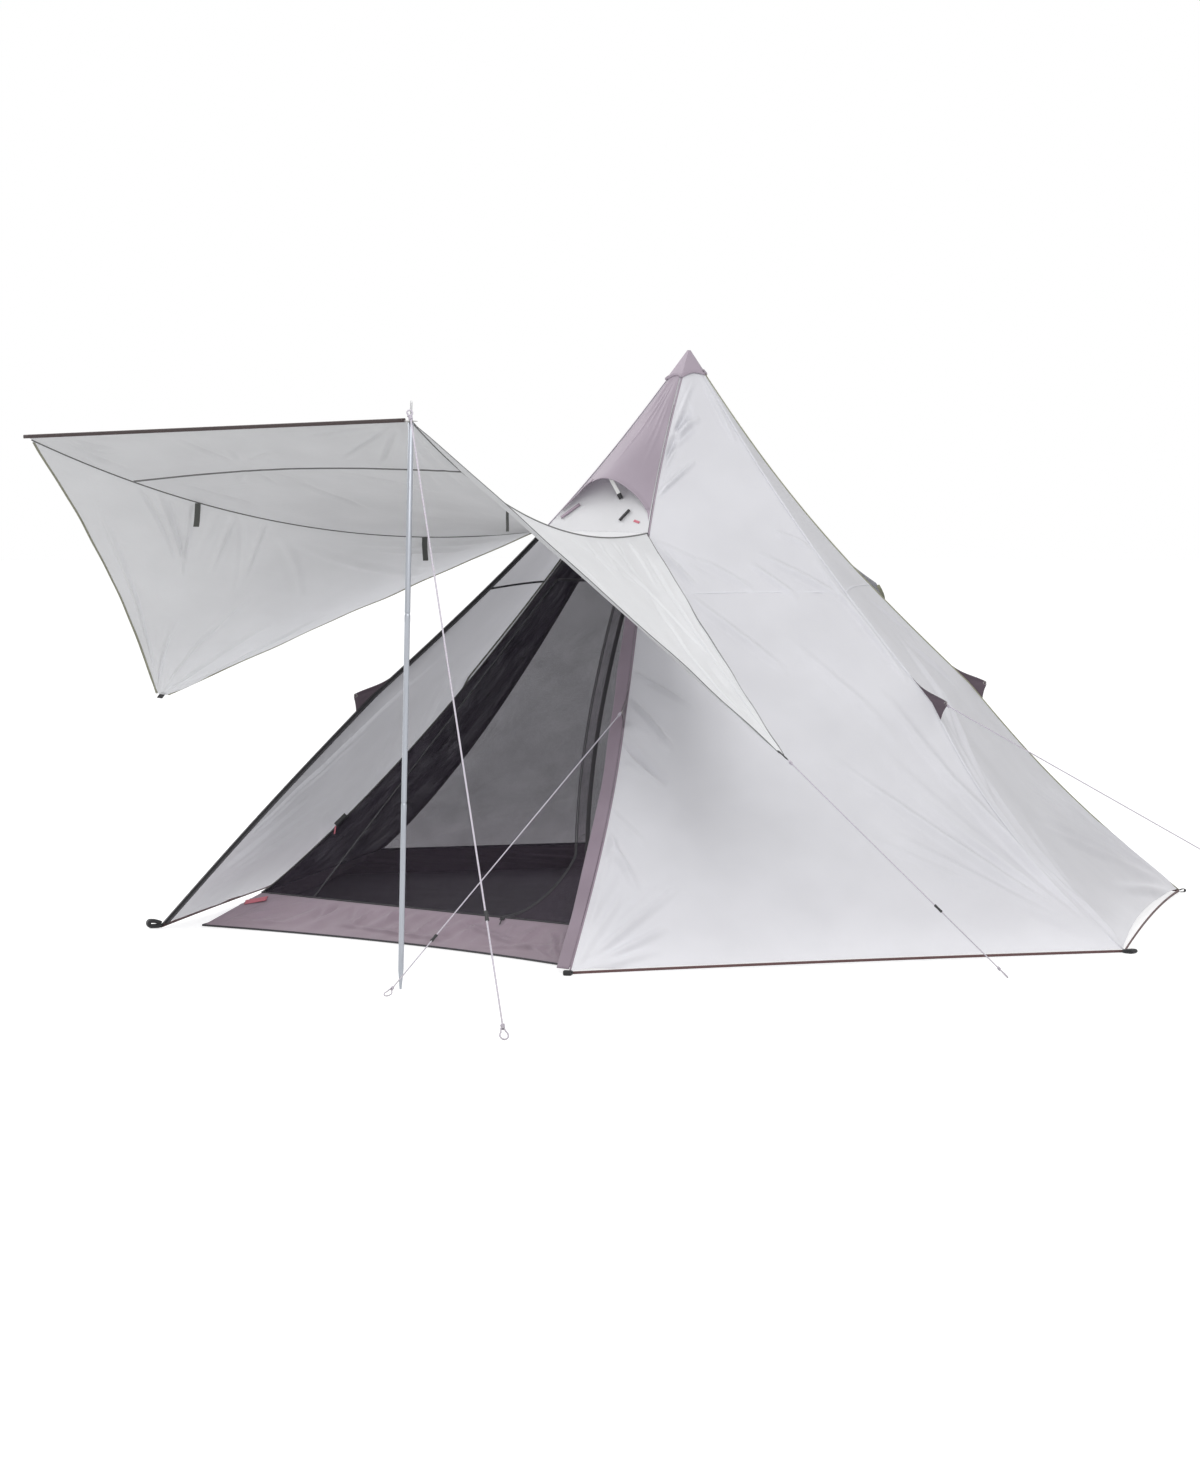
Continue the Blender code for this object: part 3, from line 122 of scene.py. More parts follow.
def lengths_along(path: Array) -> Array:
    """Distance from the start of a path to each of its points, along its last but one axis."""
    parts = np.linalg.norm(np.diff(path, axis=-2), axis=-1)
    start = np.zeros(parts.shape[:-1] + (1,))
    return np.concatenate([start, np.cumsum(parts, axis=-1)], axis=-1)


def spaced(path: Array, count: int) -> Array:
    """A path walked at even distances, with a given number of points."""
    way = lengths_along(path)
    at = np.linspace(0.0, way[-1], count)
    return np.stack([np.interp(at, way, path[:, axis]) for axis in range(3)], axis=-1)


def rounded_path(path: Array, count: int, passes: int = 6) -> Array:
    """A path walked evenly, its corners eased by averaging each point with its neighbours."""
    line = spaced(path, count)
    for _ in range(passes):
        line[1:-1] = line[1:-1] * 0.5 + (line[:-2] + line[2:]) * 0.25
    return line


def tangents(path: Array) -> Array:
    """Direction of a path at each of its points, from its neighbours' difference."""
    return unit(np.gradient(path, axis=0))


def surface_normals(points: Array) -> Array:
    """Normals of a grid, from the cross product of its column and row differences."""
    across = np.gradient(points, axis=1)
    along = np.gradient(points, axis=0)
    return unit(np.cross(across, along))


# Meshes

def mesh_object(
    name: str,
    points: Array,
    faces: list[Array],
    uv: Array | None = None,
    uv_faces: list[Array] | None = None,
) -> Item:
    """An object at the origin from vertices and faces, smooth, with a UV map in metres.

    Args:
        name: Name of the object and its mesh.
        points: Vertices, one row each.
        faces: Arrays of faces, each array with one number of corners.
        uv: Map coordinates, indexed by uv_faces, or by faces if that is left out.
        uv_faces: Rows of uv for each face corner, in the same order as faces.

    Returns:
        The linked object.
    """
    mesh = bpy.data.meshes.new(name)
    corners = np.concatenate([face.ravel() for face in faces])
    totals = np.concatenate([np.full(len(face), face.shape[1]) for face in faces])
    starts = np.concatenate([[0], np.cumsum(totals)[:-1]])
    mesh.vertices.add(len(points))
    mesh.vertices.foreach_set("co", np.ascontiguousarray(points, np.float32).ravel())
    mesh.loops.add(len(corners))
    mesh.loops.foreach_set("vertex_index", corners.astype(np.int32))
    mesh.polygons.add(len(totals))
    mesh.polygons.foreach_set("loop_start", starts.astype(np.int32))
    if uv is not None:
        chosen = corners if uv_faces is None else np.concatenate([f.ravel() for f in uv_faces])
        layer = mesh.uv_layers.new(name="metres")
        layer.data.foreach_set("uv", uv[chosen].astype(np.float32).ravel())
    mesh.update(calc_edges=True)
    mesh.shade_smooth()
    item = bpy.data.objects.new(name, mesh)
    bpy.context.scene.collection.objects.link(item)
    return item


def grid_faces(rows: int, columns: int, wrap: bool = False, loop: bool = False) -> Array:
    """Quads of a grid; with wrap its last column joins its first, with loop its last row."""
    index = np.arange(rows * columns).reshape(rows, columns)
    if wrap:
        index = np.concatenate([index, index[:, :1]], axis=1)
    if loop:
        index = np.concatenate([index, index[:1]])
    corners = (index[:-1, :-1], index[:-1, 1:], index[1:, 1:], index[1:, :-1])
    return np.stack(corners, axis=-1).reshape(-1, 4)


def ring_grid(columns: int, rows: int, point: Callable[[int, Array, Array], Array]) -> Array:
    """Grid round the six sides from a side's number, shares along it and the way up, closed on itself."""
    share, way = np.meshgrid(np.arange(columns) / columns, np.linspace(0.0, 1.0, rows))
    points = np.concatenate([point(index, share, way) for index in range(SIDES)], axis=1)
    return np.concatenate([points, points[:, :1]], axis=1)


def metre_map(points: Array) -> Array:
    """Map of a grid in metres: across from the middle of each row, and along the middle column."""
    across = lengths_along(points)
    across = across - across[:, -1:] / 2
    along = lengths_along(points[:, points.shape[1] // 2])
    return np.stack([across, np.broadcast_to(along[:, None], across.shape)], axis=-1)


def cloth_object(
    name: str, points: Array, wall: float = 0.0, offset: float = -1.0, ring: bool = False
) -> Item:
    """Cloth from a grid of points.

    Args:
        name: The piece's name.
        points: The grid, one row after another.
        wall: Thickness of its wall, or none.
        offset: Side of the wall: -1 behind the side that the faces show, 0 on both, 1 before it.
        ring: Whether the last column lies on the first and is joined to it.

    Returns:
        The linked object.
    """
    faces = [grid_faces(*points.shape[:2])]
    item = mesh_object(name, points.reshape(-1, 3), faces, metre_map(points).reshape(-1, 2))
    if ring:
        weld(item, RING_MERGE)
    if wall:
        solid = item.modifiers.new("wall", "SOLIDIFY")
        solid.thickness = wall
        solid.offset = offset
    return item


def weld(item: Item, distance: float) -> None:
    """Merge the vertices of a piece that lie within a distance of each other."""
    made = item.modifiers.new("weld", "WELD")
    made.merge_threshold = distance


def swept_object(name: str, path: Array, side: Array, profile: Array, loop: bool = False) -> Item:
    """A closed profile carried along a path, with flat ends unless the path is a loop.

    Point (i, j) is path i plus side i times the profile's first number plus face i times its
    second, where face is the path's direction crossed with side.

    Args:
        name: Name of the object.
        path: Points of the path, one row each.
        side: Direction of the profile's first axis at each point, or one direction for all.
        profile: Points of the outline, counter-clockwise, not repeated.
        loop: Whether the path's end joins its start.

    Returns:
        The linked object.
    """
    along = tangents(path) if not loop else unit(np.roll(path, -1, 0) - np.roll(path, 1, 0))
    side = np.broadcast_to(side, path.shape)
    side = unit(side - along * (side * along).sum(-1, keepdims=True))
    face = np.cross(along, side)
    rings = path[:, None] + side[:, None] * profile[None, :, :1] + face[:, None] * profile[None, :, 1:]
    around = len(profile)
    count = len(path)
    girth = lengths_along(np.concatenate([profile, profile[:1]]))
    way = lengths_along(np.concatenate([path, path[:1]]) if loop else path)
    uv = np.stack(np.broadcast_arrays(girth[None, :], way[:, None]), axis=-1)
    faces, uv_faces = [grid_faces(count, around, True, loop)], [grid_faces(len(way), around + 1)]
    if not loop:
        first = np.arange(around)[None, ::-1]
        last = np.arange((count - 1) * around, count * around)[None]
        faces += [first, last]
        uv_faces += [first, (count - 1) * (around + 1) + np.arange(around)[None]]
    return mesh_object(name, rings.reshape(-1, 3), faces, uv.reshape(-1, 2), uv_faces)


def turned_object(name: str, profile: Array, base: Array, axis: Array, turns: int = 32) -> Item:
    """A round piece: each (radius, height) pair of a profile turned about an axis through a base.

    The profile runs from its foot up, or, where it ends at its start, round a ring. Point (i, j)
    is the base plus the axis times height i plus the radius i times a direction at angle j.
    """
    axis = unit(np.asarray(axis, float))
    first = unit(np.cross(axis, [0.3, 1.0, 0.1]))
    second = np.cross(axis, first)
    angles = np.arange(turns) * (math.tau / turns)
    spokes = np.cos(angles)[:, None] * first + np.sin(angles)[:, None] * second
    points = np.asarray(base) + profile[:, None, 1:] * axis + profile[:, None, :1] * spokes[None]
    girth = np.append(angles, math.tau) * profile[:, 0].max()
    way = lengths_along(profile)
    uv = np.stack(np.broadcast_arrays(girth[None], way[:, None]), -1)
    faces, uv_faces = grid_faces(len(profile), turns, wrap=True), grid_faces(len(profile), turns + 1)
    item = mesh_object(name, points.reshape(-1, 3), [faces], uv.reshape(-1, 2), [uv_faces])
    weld(item, SEAM_MERGE)
    item.data.set_sharp_from_angle(angle=SHARP_ANGLE)
    return item


def round_profile(radius: float, count: int = 12) -> Array:
    """Circle of a radius, counter-clockwise."""
    angles = np.arange(count) * (math.tau / count)
    return np.stack([np.cos(angles), np.sin(angles)], axis=-1) * radius


def band_profile(width: float, thickness: float, count: int = 16, squareness: float = 5.0) -> Array:
    """Flat band with rounded edges: a superellipse, each half axis times |cos| or |sin| to 2/n."""
    angles = (np.arange(count) + 0.5) * (math.tau / count)
    power = 2.0 / squareness
    x = np.sign(np.cos(angles)) * np.abs(np.cos(angles)) ** power * (width / 2)
    y = np.sign(np.sin(angles)) * np.abs(np.sin(angles)) ** power * (thickness / 2)
    return np.stack([x, y], axis=-1)


# Folds

@dataclass(frozen=True)
class Fold:
    """A fold of cloth between two points of its flat coordinates, in metres."""

    start: Pair
    end: Pair
    width: float
    depth: float

    def height(self, x: Array, y: Array) -> Array:
        """Rise of the cloth: a ridge with a shallow trough on each side, dying out at its ends.

        With q the squared distance from the line over the width, it is (1 - q) exp(-q), times a
        sine over the way from start to end.

        Args:
            x: Places across the cloth.
            y: Places along the cloth.

        Returns:
            The rise at each place, in metres.
        """
        way_x, way_y = self.end[0] - self.start[0], self.end[1] - self.start[1]
        square = way_x ** 2 + way_y ** 2
        way = ((x - self.start[0]) * way_x + (y - self.start[1]) * way_y) / square
        off = ((x - self.start[0]) * way_y - (y - self.start[1]) * way_x) / math.sqrt(square)
        q = (off / self.width) ** 2
        fade = np.sin(math.pi * np.clip(way, 0.0, 1.0)) ** 0.75
        return self.depth * (1.0 - q) * np.exp(-q) * fade


def fan(
    origin: Pair,
    angles: Pair,
    reach: Pair,
    count: int,
    width: float,
    depth: float,
    seed: int,
) -> list[Fold]:
    """Folds that spread from a pulled corner, at angles in degrees from the cloth's first axis."""
    chance = np.random.default_rng(seed)
    turns = np.radians(np.linspace(*angles, count) + chance.uniform(-2.5, 2.5, count))
    far = reach[0] + (reach[1] - reach[0]) * chance.random(count)
    near = far * chance.uniform(0.02, 0.15, count)
    depths = depth * chance.uniform(0.5, 1.2, count)
    widths = width * chance.uniform(0.7, 1.4, count)
    folds = []
    for turn, a, b, w, d in zip(turns, near, far, widths, depths):
        ray = (math.cos(turn), math.sin(turn))
        start = (origin[0] + ray[0] * a, origin[1] + ray[1] * a)
        end = (origin[0] + ray[0] * b, origin[1] + ray[1] * b)
        folds.append(Fold(start, end, float(w), float(d)))
    return folds


def puckers(
    line: tuple[Pair, Pair],
    lean: float,
    reach: Pair,
    count: int,
    width: float,
    depth: float,
    seed: int,
) -> list[Fold]:
    """Short folds that leave a sewn edge, leaning at an angle in degrees from the first axis."""
    chance = np.random.default_rng(seed)
    shares = (np.arange(count) + chance.uniform(0.1, 0.9, count)) / count
    folds = []
    for share in shares:
        turn = math.radians(lean + chance.uniform(-22.0, 22.0))
        far = chance.uniform(*reach)
        x = line[0][0] + (line[1][0] - line[0][0]) * share
        y = line[0][1] + (line[1][1] - line[0][1]) * share
        end = (x + math.cos(turn) * far, y + math.sin(turn) * far)
        back = (x - math.cos(turn) * far * 0.25, y - math.sin(turn) * far * 0.25)
        depths = depth * chance.uniform(0.4, 1.2) * (1 if chance.random() > 0.3 else -1)
        folds.append(Fold(back, end, width * chance.uniform(0.6, 1.4), depths))
    return folds


def crumple(x: Array, y: Array, depth: float, size: float, seed: int, waves: int = 14) -> Array:
    """Soft unevenness: a sum of sine waves in random directions, with lengths about one size."""
    chance = np.random.default_rng(seed)
    total = np.zeros(np.broadcast(x, y).shape)
    for _ in range(waves):
        turn = chance.uniform(0.0, math.tau)
        number = math.tau / (size * chance.uniform(0.5, 2.0))
        phase = chance.uniform(0.0, math.tau)
        total += np.sin((x * math.cos(turn) + y * math.sin(turn)) * number + phase)
    return total * (depth / math.sqrt(waves))


def folded(x: Array, y: Array, folds: list[Fold]) -> Array:
    """Rise of the cloth from all of its folds together."""
    total = np.zeros(np.broadcast(x, y).shape)
    for fold in folds:
        total += fold.height(x, y)
    return total


# Finishes

class Board:
    """Adds nodes and links to one node tree."""

    def __init__(self, tree: Tree) -> None:
        """Keep the tree that nodes go into."""
        self.tree = tree

    def node(self, kind: str, **settings: object) -> Node:
        """A new node with its settings.

        Args:
            kind: Node type, such as ShaderNodeMath.
            settings: Attributes to set on it.

        Returns:
            The node.
        """
        made = self.tree.nodes.new(kind)
        for key, value in settings.items():
            setattr(made, key, value)
        return made

    def put(self, socket: Socket, value: object) -> None:
        """Link a socket into an input, or set the input's own value."""
        if isinstance(value, Socket):
            self.tree.links.new(value, socket)
        elif isinstance(value, tuple) and len(value) == 3 and socket.type == "RGBA":
            socket.default_value = (*value, 1.0)
        else:
            socket.default_value = value

    def math(self, operation: str, *values: object, clamp: bool = False) -> Socket:
        """Result of a Math node."""
        made = self.node("ShaderNodeMath", operation=operation, use_clamp=clamp)
        for socket, value in zip(made.inputs, values):
            self.put(socket, value)
        return made.outputs[0]

    def blend(self, share: object, a: object, b: object, mode: str = "MIX") -> Socket:
        """Colour a share of the way from one to another."""
        made = self.node("ShaderNodeMix", data_type="RGBA", blend_type=mode)
        self.put(made.inputs[0], share)
        self.put(made.inputs[6], a)
        self.put(made.inputs[7], b)
        return made.outputs[2]

    def span(self, value: object, low: float, high: float, to: Pair) -> Socket:
        """A value mapped from one range to another, held at its ends."""
        made = self.node("ShaderNodeMapRange")
        for socket, number in zip(made.inputs, (value, low, high, *to)):
            self.put(socket, number)
        return made.outputs[0]

    def noise(self, vector: object, scale: object, detail: float = 2.0, rough: float = 0.5) -> Socket:
        """Value of a noise texture."""
        made = self.node("ShaderNodeTexNoise")
        self.put(made.inputs["Vector"], vector)
        self.put(made.inputs["Scale"], scale)
        made.inputs["Detail"].default_value = detail
        made.inputs["Roughness"].default_value = rough
        return made.outputs[0]

    def parts(self, vector: object) -> tuple[Socket, Socket, Socket]:
        """The three numbers of a vector."""
        made = self.node("ShaderNodeSeparateXYZ")
        self.put(made.inputs[0], vector)
        return made.outputs[0], made.outputs[1], made.outputs[2]

    def stretch(self, vector: object, scale: Point, turn: float = 0.0) -> Socket:
        """A vector scaled on its axes and turned about its third, in degrees."""
        made = self.node("ShaderNodeMapping")
        self.put(made.inputs["Vector"], vector)
        made.inputs["Scale"].default_value = scale
        made.inputs["Rotation"].default_value = (0.0, 0.0, math.radians(turn))
        return made.outputs[0]

    def seen(self) -> Socket:
        """Whether the camera sees the point, straight, in a reflection or through something."""
        rays = self.node("ShaderNodeLightPath").outputs
        seen = self.math("MAXIMUM", rays["Is Camera Ray"], rays["Is Glossy Ray"])
        return self.math("MAXIMUM", seen, rays["Is Transmission Ray"])

    def group(self, tree: Tree, **values: object) -> Node:
        """A node group with its own values, named by its inputs with underscores for spaces."""
        made = self.node("ShaderNodeGroup", node_tree=tree)
        for key, value in values.items():
            self.put(made.inputs[key.replace("_", " ")], value)
        return made


class Effect(Enum):
    """Effects that more than one finish uses, each a node group built once."""

    WEAVE = "woven_threads"
    CRUMPLE = "soft_crumple"
    STITCH = "stitch_row"
    NET = "netting"
    BRAID = "braided_sheath"
    GRIME = "handling_marks"


def effect_tree(
    name: str, inputs: dict[str, float | None], outputs: tuple[str, ...]
) -> tuple[Board, Sockets, Sockets]:
    """An empty node group with a vector input, number inputs and number outputs.

    Args:
        name: Name of the group.
        inputs: The numbers that it takes, with their usual values.
        outputs: The numbers that it gives.

    Returns:
        Its board, what it is given, and what it gives out.
    """
    tree = bpy.data.node_groups.new(name, "ShaderNodeTree")
    tree.interface.new_socket(name="Vector", in_out="INPUT", socket_type="NodeSocketVector")
    for label, value in inputs.items():
        made = tree.interface.new_socket(name=label, in_out="INPUT", socket_type="NodeSocketFloat")
        made.default_value = value
    for label in outputs:
        tree.interface.new_socket(name=label, in_out="OUTPUT", socket_type="NodeSocketFloat")
    board = Board(tree)
    return board, board.node("NodeGroupInput").outputs, board.node("NodeGroupOutput").inputs


def weave_tree() -> Tree:
    """Plain weave: warp |sin u| and weft |sin v| rise and sink in turn, and the higher one shows."""
    board, given, out = effect_tree(Effect.WEAVE.value, {"Pitch": 0.0007}, ("Height", "Shade"))
    u, v, _ = board.parts(given["Vector"])
    heights = []
    for own, other, shift in ((u, v, 0.0), (v, u, 1.0)):
        own_turn = board.math("DIVIDE", own, given["Pitch"])
        other_turn = board.math("DIVIDE", other, given["Pitch"])
        ridge = board.math("ABSOLUTE", board.math("SINE", board.math("MULTIPLY", own_turn, math.pi)))
        step = board.math("ADD", board.math("FLOOR", own_turn), shift)
        phase = board.math("MULTIPLY", board.math("ADD", other_turn, step), math.pi)
        over = board.math("MULTIPLY_ADD", board.math("SINE", phase), 0.5, 0.5)
        heights.append(board.math("MULTIPLY", ridge, over))
    top = board.math("MAXIMUM", *heights)
    board.put(out["Height"], top)
    board.put(out["Shade"], board.span(top, 0.0, 0.6, (0.0, 1.0)))
    return board.tree


def crumple_tree() -> Tree:
    """Crumpled cloth: creases where two noises meet, on a soft unevenness, with a tone of its own."""
    board, given, out = effect_tree(Effect.CRUMPLE.value, {"Size": 0.08}, ("Height", "Tone"))
    scale = board.math("DIVIDE", 1.0, given["Size"])
    wide = board.noise(given["Vector"], scale, 3.0)
    fine = board.noise(given["Vector"], board.math("MULTIPLY", scale, 3.7), 2.0)
    crease = board.math("ABSOLUTE", board.math("SUBTRACT", fine, 0.5))
    edge = board.math("SUBTRACT", 1.0, board.math("MULTIPLY", crease, 6.0), clamp=True)
    total = board.math("MULTIPLY_ADD", board.math("MULTIPLY", edge, edge), 0.12, wide)
    board.put(out["Height"], total)
    broad = board.math("MULTIPLY", scale, 0.31)
    board.put(out["Tone"], board.noise(given["Vector"], broad, 2.0))
    return board.tree


def stitch_tree() -> Tree:
    """A row of stitches at a place across the map: dashes along it, a thread wide."""
    board, given, out = effect_tree(
        Effect.STITCH.value, {"Place": 0.0, "Pitch": 0.004, "Thread": 0.0007}, ("Mask", "Height")
    )
    across, along, _ = board.parts(given["Vector"])
    off = board.math("ABSOLUTE", board.math("SUBTRACT", across, given["Place"]))
    line = board.span(board.math("DIVIDE", off, given["Thread"]), 0.6, 1.0, (1.0, 0.0))
    turn = board.math("FRACT", board.math("DIVIDE", along, given["Pitch"]))
    dash = board.span(board.math("ABSOLUTE", board.math("SUBTRACT", turn, 0.5)), 0.33, 0.4, (1.0, 0.0))
    mask = board.math("MULTIPLY", line, dash)
    board.put(out["Mask"], mask)
    board.put(out["Height"], mask)
    return board.tree


def net_tree() -> Tree:
    """Netting: threads along two diagonals of a map, how much of it they cover."""
    board, given, out = effect_tree(
        Effect.NET.value, {"Pitch": 0.0016, "Open": 0.12, "Solid": 0.5}, ("Cover", "Height")
    )
    u, v, _ = board.parts(given["Vector"])
    rows = []
    for mark in ("ADD", "SUBTRACT"):
        turn = board.math("DIVIDE", board.math(mark, u, v), given["Pitch"])
        rows.append(board.math("ABSOLUTE", board.math("SINE", board.math("MULTIPLY", turn, math.pi))))
    thread = board.math("SUBTRACT", 1.0, board.math("MINIMUM", *rows))
    line = board.span(thread, 0.35, 0.85, (0.0, 1.0))
    gap = board.math("SUBTRACT", given["Solid"], given["Open"])
    board.put(out["Cover"], board.math("MULTIPLY_ADD", line, gap, given["Open"]))
    board.put(out["Height"], line)
    return board.tree


def braid_tree() -> Tree:
    """Braided sheath: strands run round the cord both ways, in turn over and under."""
    board, given, out = effect_tree(Effect.BRAID.value, {"Pitch": 0.006}, ("Height", "Shade"))
    girth, along, _ = board.parts(given["Vector"])
    turns = []
    for mark in ("ADD", "SUBTRACT"):
        turn = board.math("DIVIDE", board.math(mark, along, girth), given["Pitch"])
        turns.append(board.math("ABSOLUTE", board.math("SINE", board.math("MULTIPLY", turn, math.tau))))
    total = board.math("MULTIPLY", *turns)
    board.put(out["Height"], total)
    board.put(out["Shade"], board.span(total, 0.0, 0.7, (0.0, 1.0)))
    return board.tree


def grime_tree() -> Tree:
    """Marks of handling and weather: soft patches, and dust that gathers low on the piece."""
    board, given, out = effect_tree(Effect.GRIME.value, {"Low": 0.0, "High": 0.25}, ("Patch", "Dust"))
    patch = board.noise(given["Vector"], 7.0, 4.0, 0.6)
    board.put(out["Patch"], board.span(patch, 0.35, 0.7, (0.0, 1.0)))
    _, _, height = board.parts(given["Vector"])
    low = board.math("SUBTRACT", given["High"], height)
    span = board.math("SUBTRACT", given["High"], given["Low"])
    near = board.math("DIVIDE", low, span, clamp=True)
    board.put(out["Dust"], board.math("MULTIPLY", near, patch))
    return board.tree


EFFECT_BUILDERS = {
    Effect.WEAVE: weave_tree,
    Effect.CRUMPLE: crumple_tree,
    Effect.STITCH: stitch_tree,
    Effect.NET: net_tree,
    Effect.BRAID: braid_tree,
    Effect.GRIME: grime_tree,
}


class Surface(Board):
    """The board of a material, with its Principled shader and its coordinates."""

    def __init__(self, name: str) -> None:
        """Start the material of a finish."""
        self.material = bpy.data.materials.new(LOOK + name)
        self.material.use_nodes = True
        super().__init__(self.material.node_tree)
        self.shader = self.tree.nodes["Principled BSDF"]
        place = self.node("ShaderNodeTexCoord")
        self.uv, self.place = place.outputs["UV"], place.outputs["Object"]

    def effect(self, kind: Effect, **values: object) -> Sockets:
        """Outputs of an effect, read off the map, or off the object for crumple and grime."""
        tree = bpy.data.node_groups.get(kind.value) or EFFECT_BUILDERS[kind]()
        vector = self.place if kind in (Effect.CRUMPLE, Effect.GRIME) else self.uv
        return self.group(tree, Vector=vector, **values).outputs

    def give(self, label: str, value: object) -> None:
        """Link or set an input of the shader."""
        self.put(self.shader.inputs[label], value)

    def relief(self, height: Socket) -> None:
        """Feed a height in metres to the shader's normal."""
        bump = self.node("ShaderNodeBump")
        bump.inputs["Strength"].default_value = 1.0
        bump.inputs["Distance"].default_value = 1.0
        self.put(bump.inputs["Height"], height)
        self.give("Normal", bump.outputs[0])


def shaded(colour: Colour, factor: float) -> Colour:
    """A colour made darker or lighter by a factor."""
    return tuple(min(1.0, part * factor) for part in colour)


@dataclass(frozen=True)
class Look:
    """What every finish has: a name, a colour, and nodes of its own."""

    name: str
    colour: Colour

    def make(self) -> Material:
        """Build the material."""
        board = Surface(self.name)
        self.paint(board)
        return board.material

    def paint(self, board: Surface) -> None:
        """Add the finish's own nodes."""
        board.give("Base Color", self.colour)


@dataclass(frozen=True)
class ClothFinish(Look):
    """Coated woven cloth: thread relief, soft crumples, streaks of tension and a little dust."""

    roughness: float = 0.62
    pitch: float = 0.0007
    crumple: float = 0.0007
    size: float = 0.09
    streak: float = 0.0
    streak_turn: float = 0.0
    streak_scale: Point = (5.0, 55.0, 1.0)
    variation: float = 0.05
    dust: float = 0.10
    sheen: float = 0.15
    through: float = 0.0

    def paint(self, board: Surface) -> None:
        """Weave, crumples, streaks and dust over the colour, and light that comes through."""
        weave = board.effect(Effect.WEAVE, Pitch=self.pitch)
        soft = board.effect(Effect.CRUMPLE, Size=self.size)
        marks = board.effect(Effect.GRIME)
        tone = board.span(soft["Tone"], 0.3, 0.7, (0.0, 1.0))
        low, high = shaded(self.colour, 1.0 - self.variation), shaded(self.colour, 1.0 + self.variation * 0.4)
        base = board.blend(tone, low, high)
        thread = board.math("MULTIPLY", board.math("SUBTRACT", 1.0, weave["Shade"]), 0.08)
        base = board.blend(thread, base, shaded(self.colour, 0.8))
        worn = board.math("MULTIPLY", marks["Dust"], self.dust)
        base = board.blend(worn, base, DUST)
        board.give("Base Color", base)
        rough = board.span(marks["Patch"], 0.0, 1.0, (self.roughness - 0.05, self.roughness + 0.06))
        board.give("Roughness", rough)
        board.give("Sheen Weight", self.sheen)
        board.give("Specular IOR Level", 0.35)
        height = board.math("MULTIPLY", soft["Height"], self.crumple)
        height = board.math("MULTIPLY_ADD", weave["Height"], 0.00003, height)
        if self.streak:
            line = board.noise(board.stretch(board.uv, self.streak_scale, self.streak_turn), 1.0, 2.0)
            height = board.math("MULTIPLY_ADD", line, self.streak, height)
        board.relief(height)
        if self.through:
            self.let_light_through(board, base)

    def let_light_through(self, board: Surface, base: Socket) -> None:
        """Mix in a share of light that crosses the cloth and leaves it softly on its other side."""
        behind = board.node("ShaderNodeBsdfTranslucent")
        board.put(behind.inputs["Color"], base)
        board.put(behind.inputs["Normal"], board.shader.inputs["Normal"].links[0].from_socket)
        both = board.node("ShaderNodeMixShader")
        for socket, value in zip(both.inputs, (self.through, board.shader.outputs[0], behind.outputs[0])):
            board.put(socket, value)
        output = next(node for node in board.tree.nodes if node.type == "OUTPUT_MATERIAL")
        board.put(output.inputs["Surface"], both.outputs[0])


@dataclass(frozen=True)
class NetFinish(Look):
    """Fine netting: dark threads with the openings cut out of the cloth's alpha."""

    cover: Pair = (0.15, 0.55)
    pitch: float = 0.0016

    def paint(self, board: Surface) -> None:
        """Threads in the colour and in the alpha, with a soft unevenness."""
        net = board.effect(Effect.NET, Pitch=self.pitch, Open=self.cover[0], Solid=self.cover[1])
        soft = board.effect(Effect.CRUMPLE, Size=0.12)
        tone = board.span(soft["Tone"], 0.3, 0.7, (0.0, 1.0))
        board.give("Base Color", board.blend(tone, shaded(self.colour, 0.85), shaded(self.colour, 1.15)))
        slack = board.span(soft["Height"], 0.3, 0.8, (0.9, 1.12))
        board.give("Alpha", board.math("MULTIPLY", net["Cover"], slack, clamp=True))
        board.give("Roughness", board.span(tone, 0.0, 1.0, (0.75, 0.9)))
        board.give("Specular IOR Level", 0.2)
        height = board.math("MULTIPLY", net["Height"], 0.00006)
        board.relief(board.math("MULTIPLY_ADD", soft["Height"], 0.0006, height))


@dataclass(frozen=True)
class WebbingFinish(Look):
    """Woven tape: ribs across it, stitched near both edges, with worn lighter threads."""

    width: float = 0.012
    rib: float = 0.0012
    thread: Colour = (0.10, 0.10, 0.11)
    roughness: float = 0.8

    def paint(self, board: Surface) -> None:
        """Ribs, worn threads and two rows of stitches."""
        weave = board.effect(Effect.WEAVE, Pitch=self.rib)
        marks = board.effect(Effect.GRIME)
        base = board.blend(weave["Shade"], shaded(self.colour, 0.65), shaded(self.colour, 1.15))
        base = board.blend(board.math("MULTIPLY", marks["Patch"], 0.2), base, shaded(self.colour, 1.6))
        height = board.math("MULTIPLY", weave["Height"], 0.00025)
        for place_across in (self.width * 0.18, self.width * 0.82):
            row = board.effect(Effect.STITCH, Place=place_across, Pitch=0.004)
            base = board.blend(row["Mask"], base, self.thread)
            height = board.math("MULTIPLY_ADD", row["Height"], 0.0002, height)
        board.give("Base Color", base)
        board.give("Roughness", board.span(weave["Shade"], 0.0, 1.0, (0.9, self.roughness)))
        board.give("Sheen Weight", 0.1)
        board.relief(height)


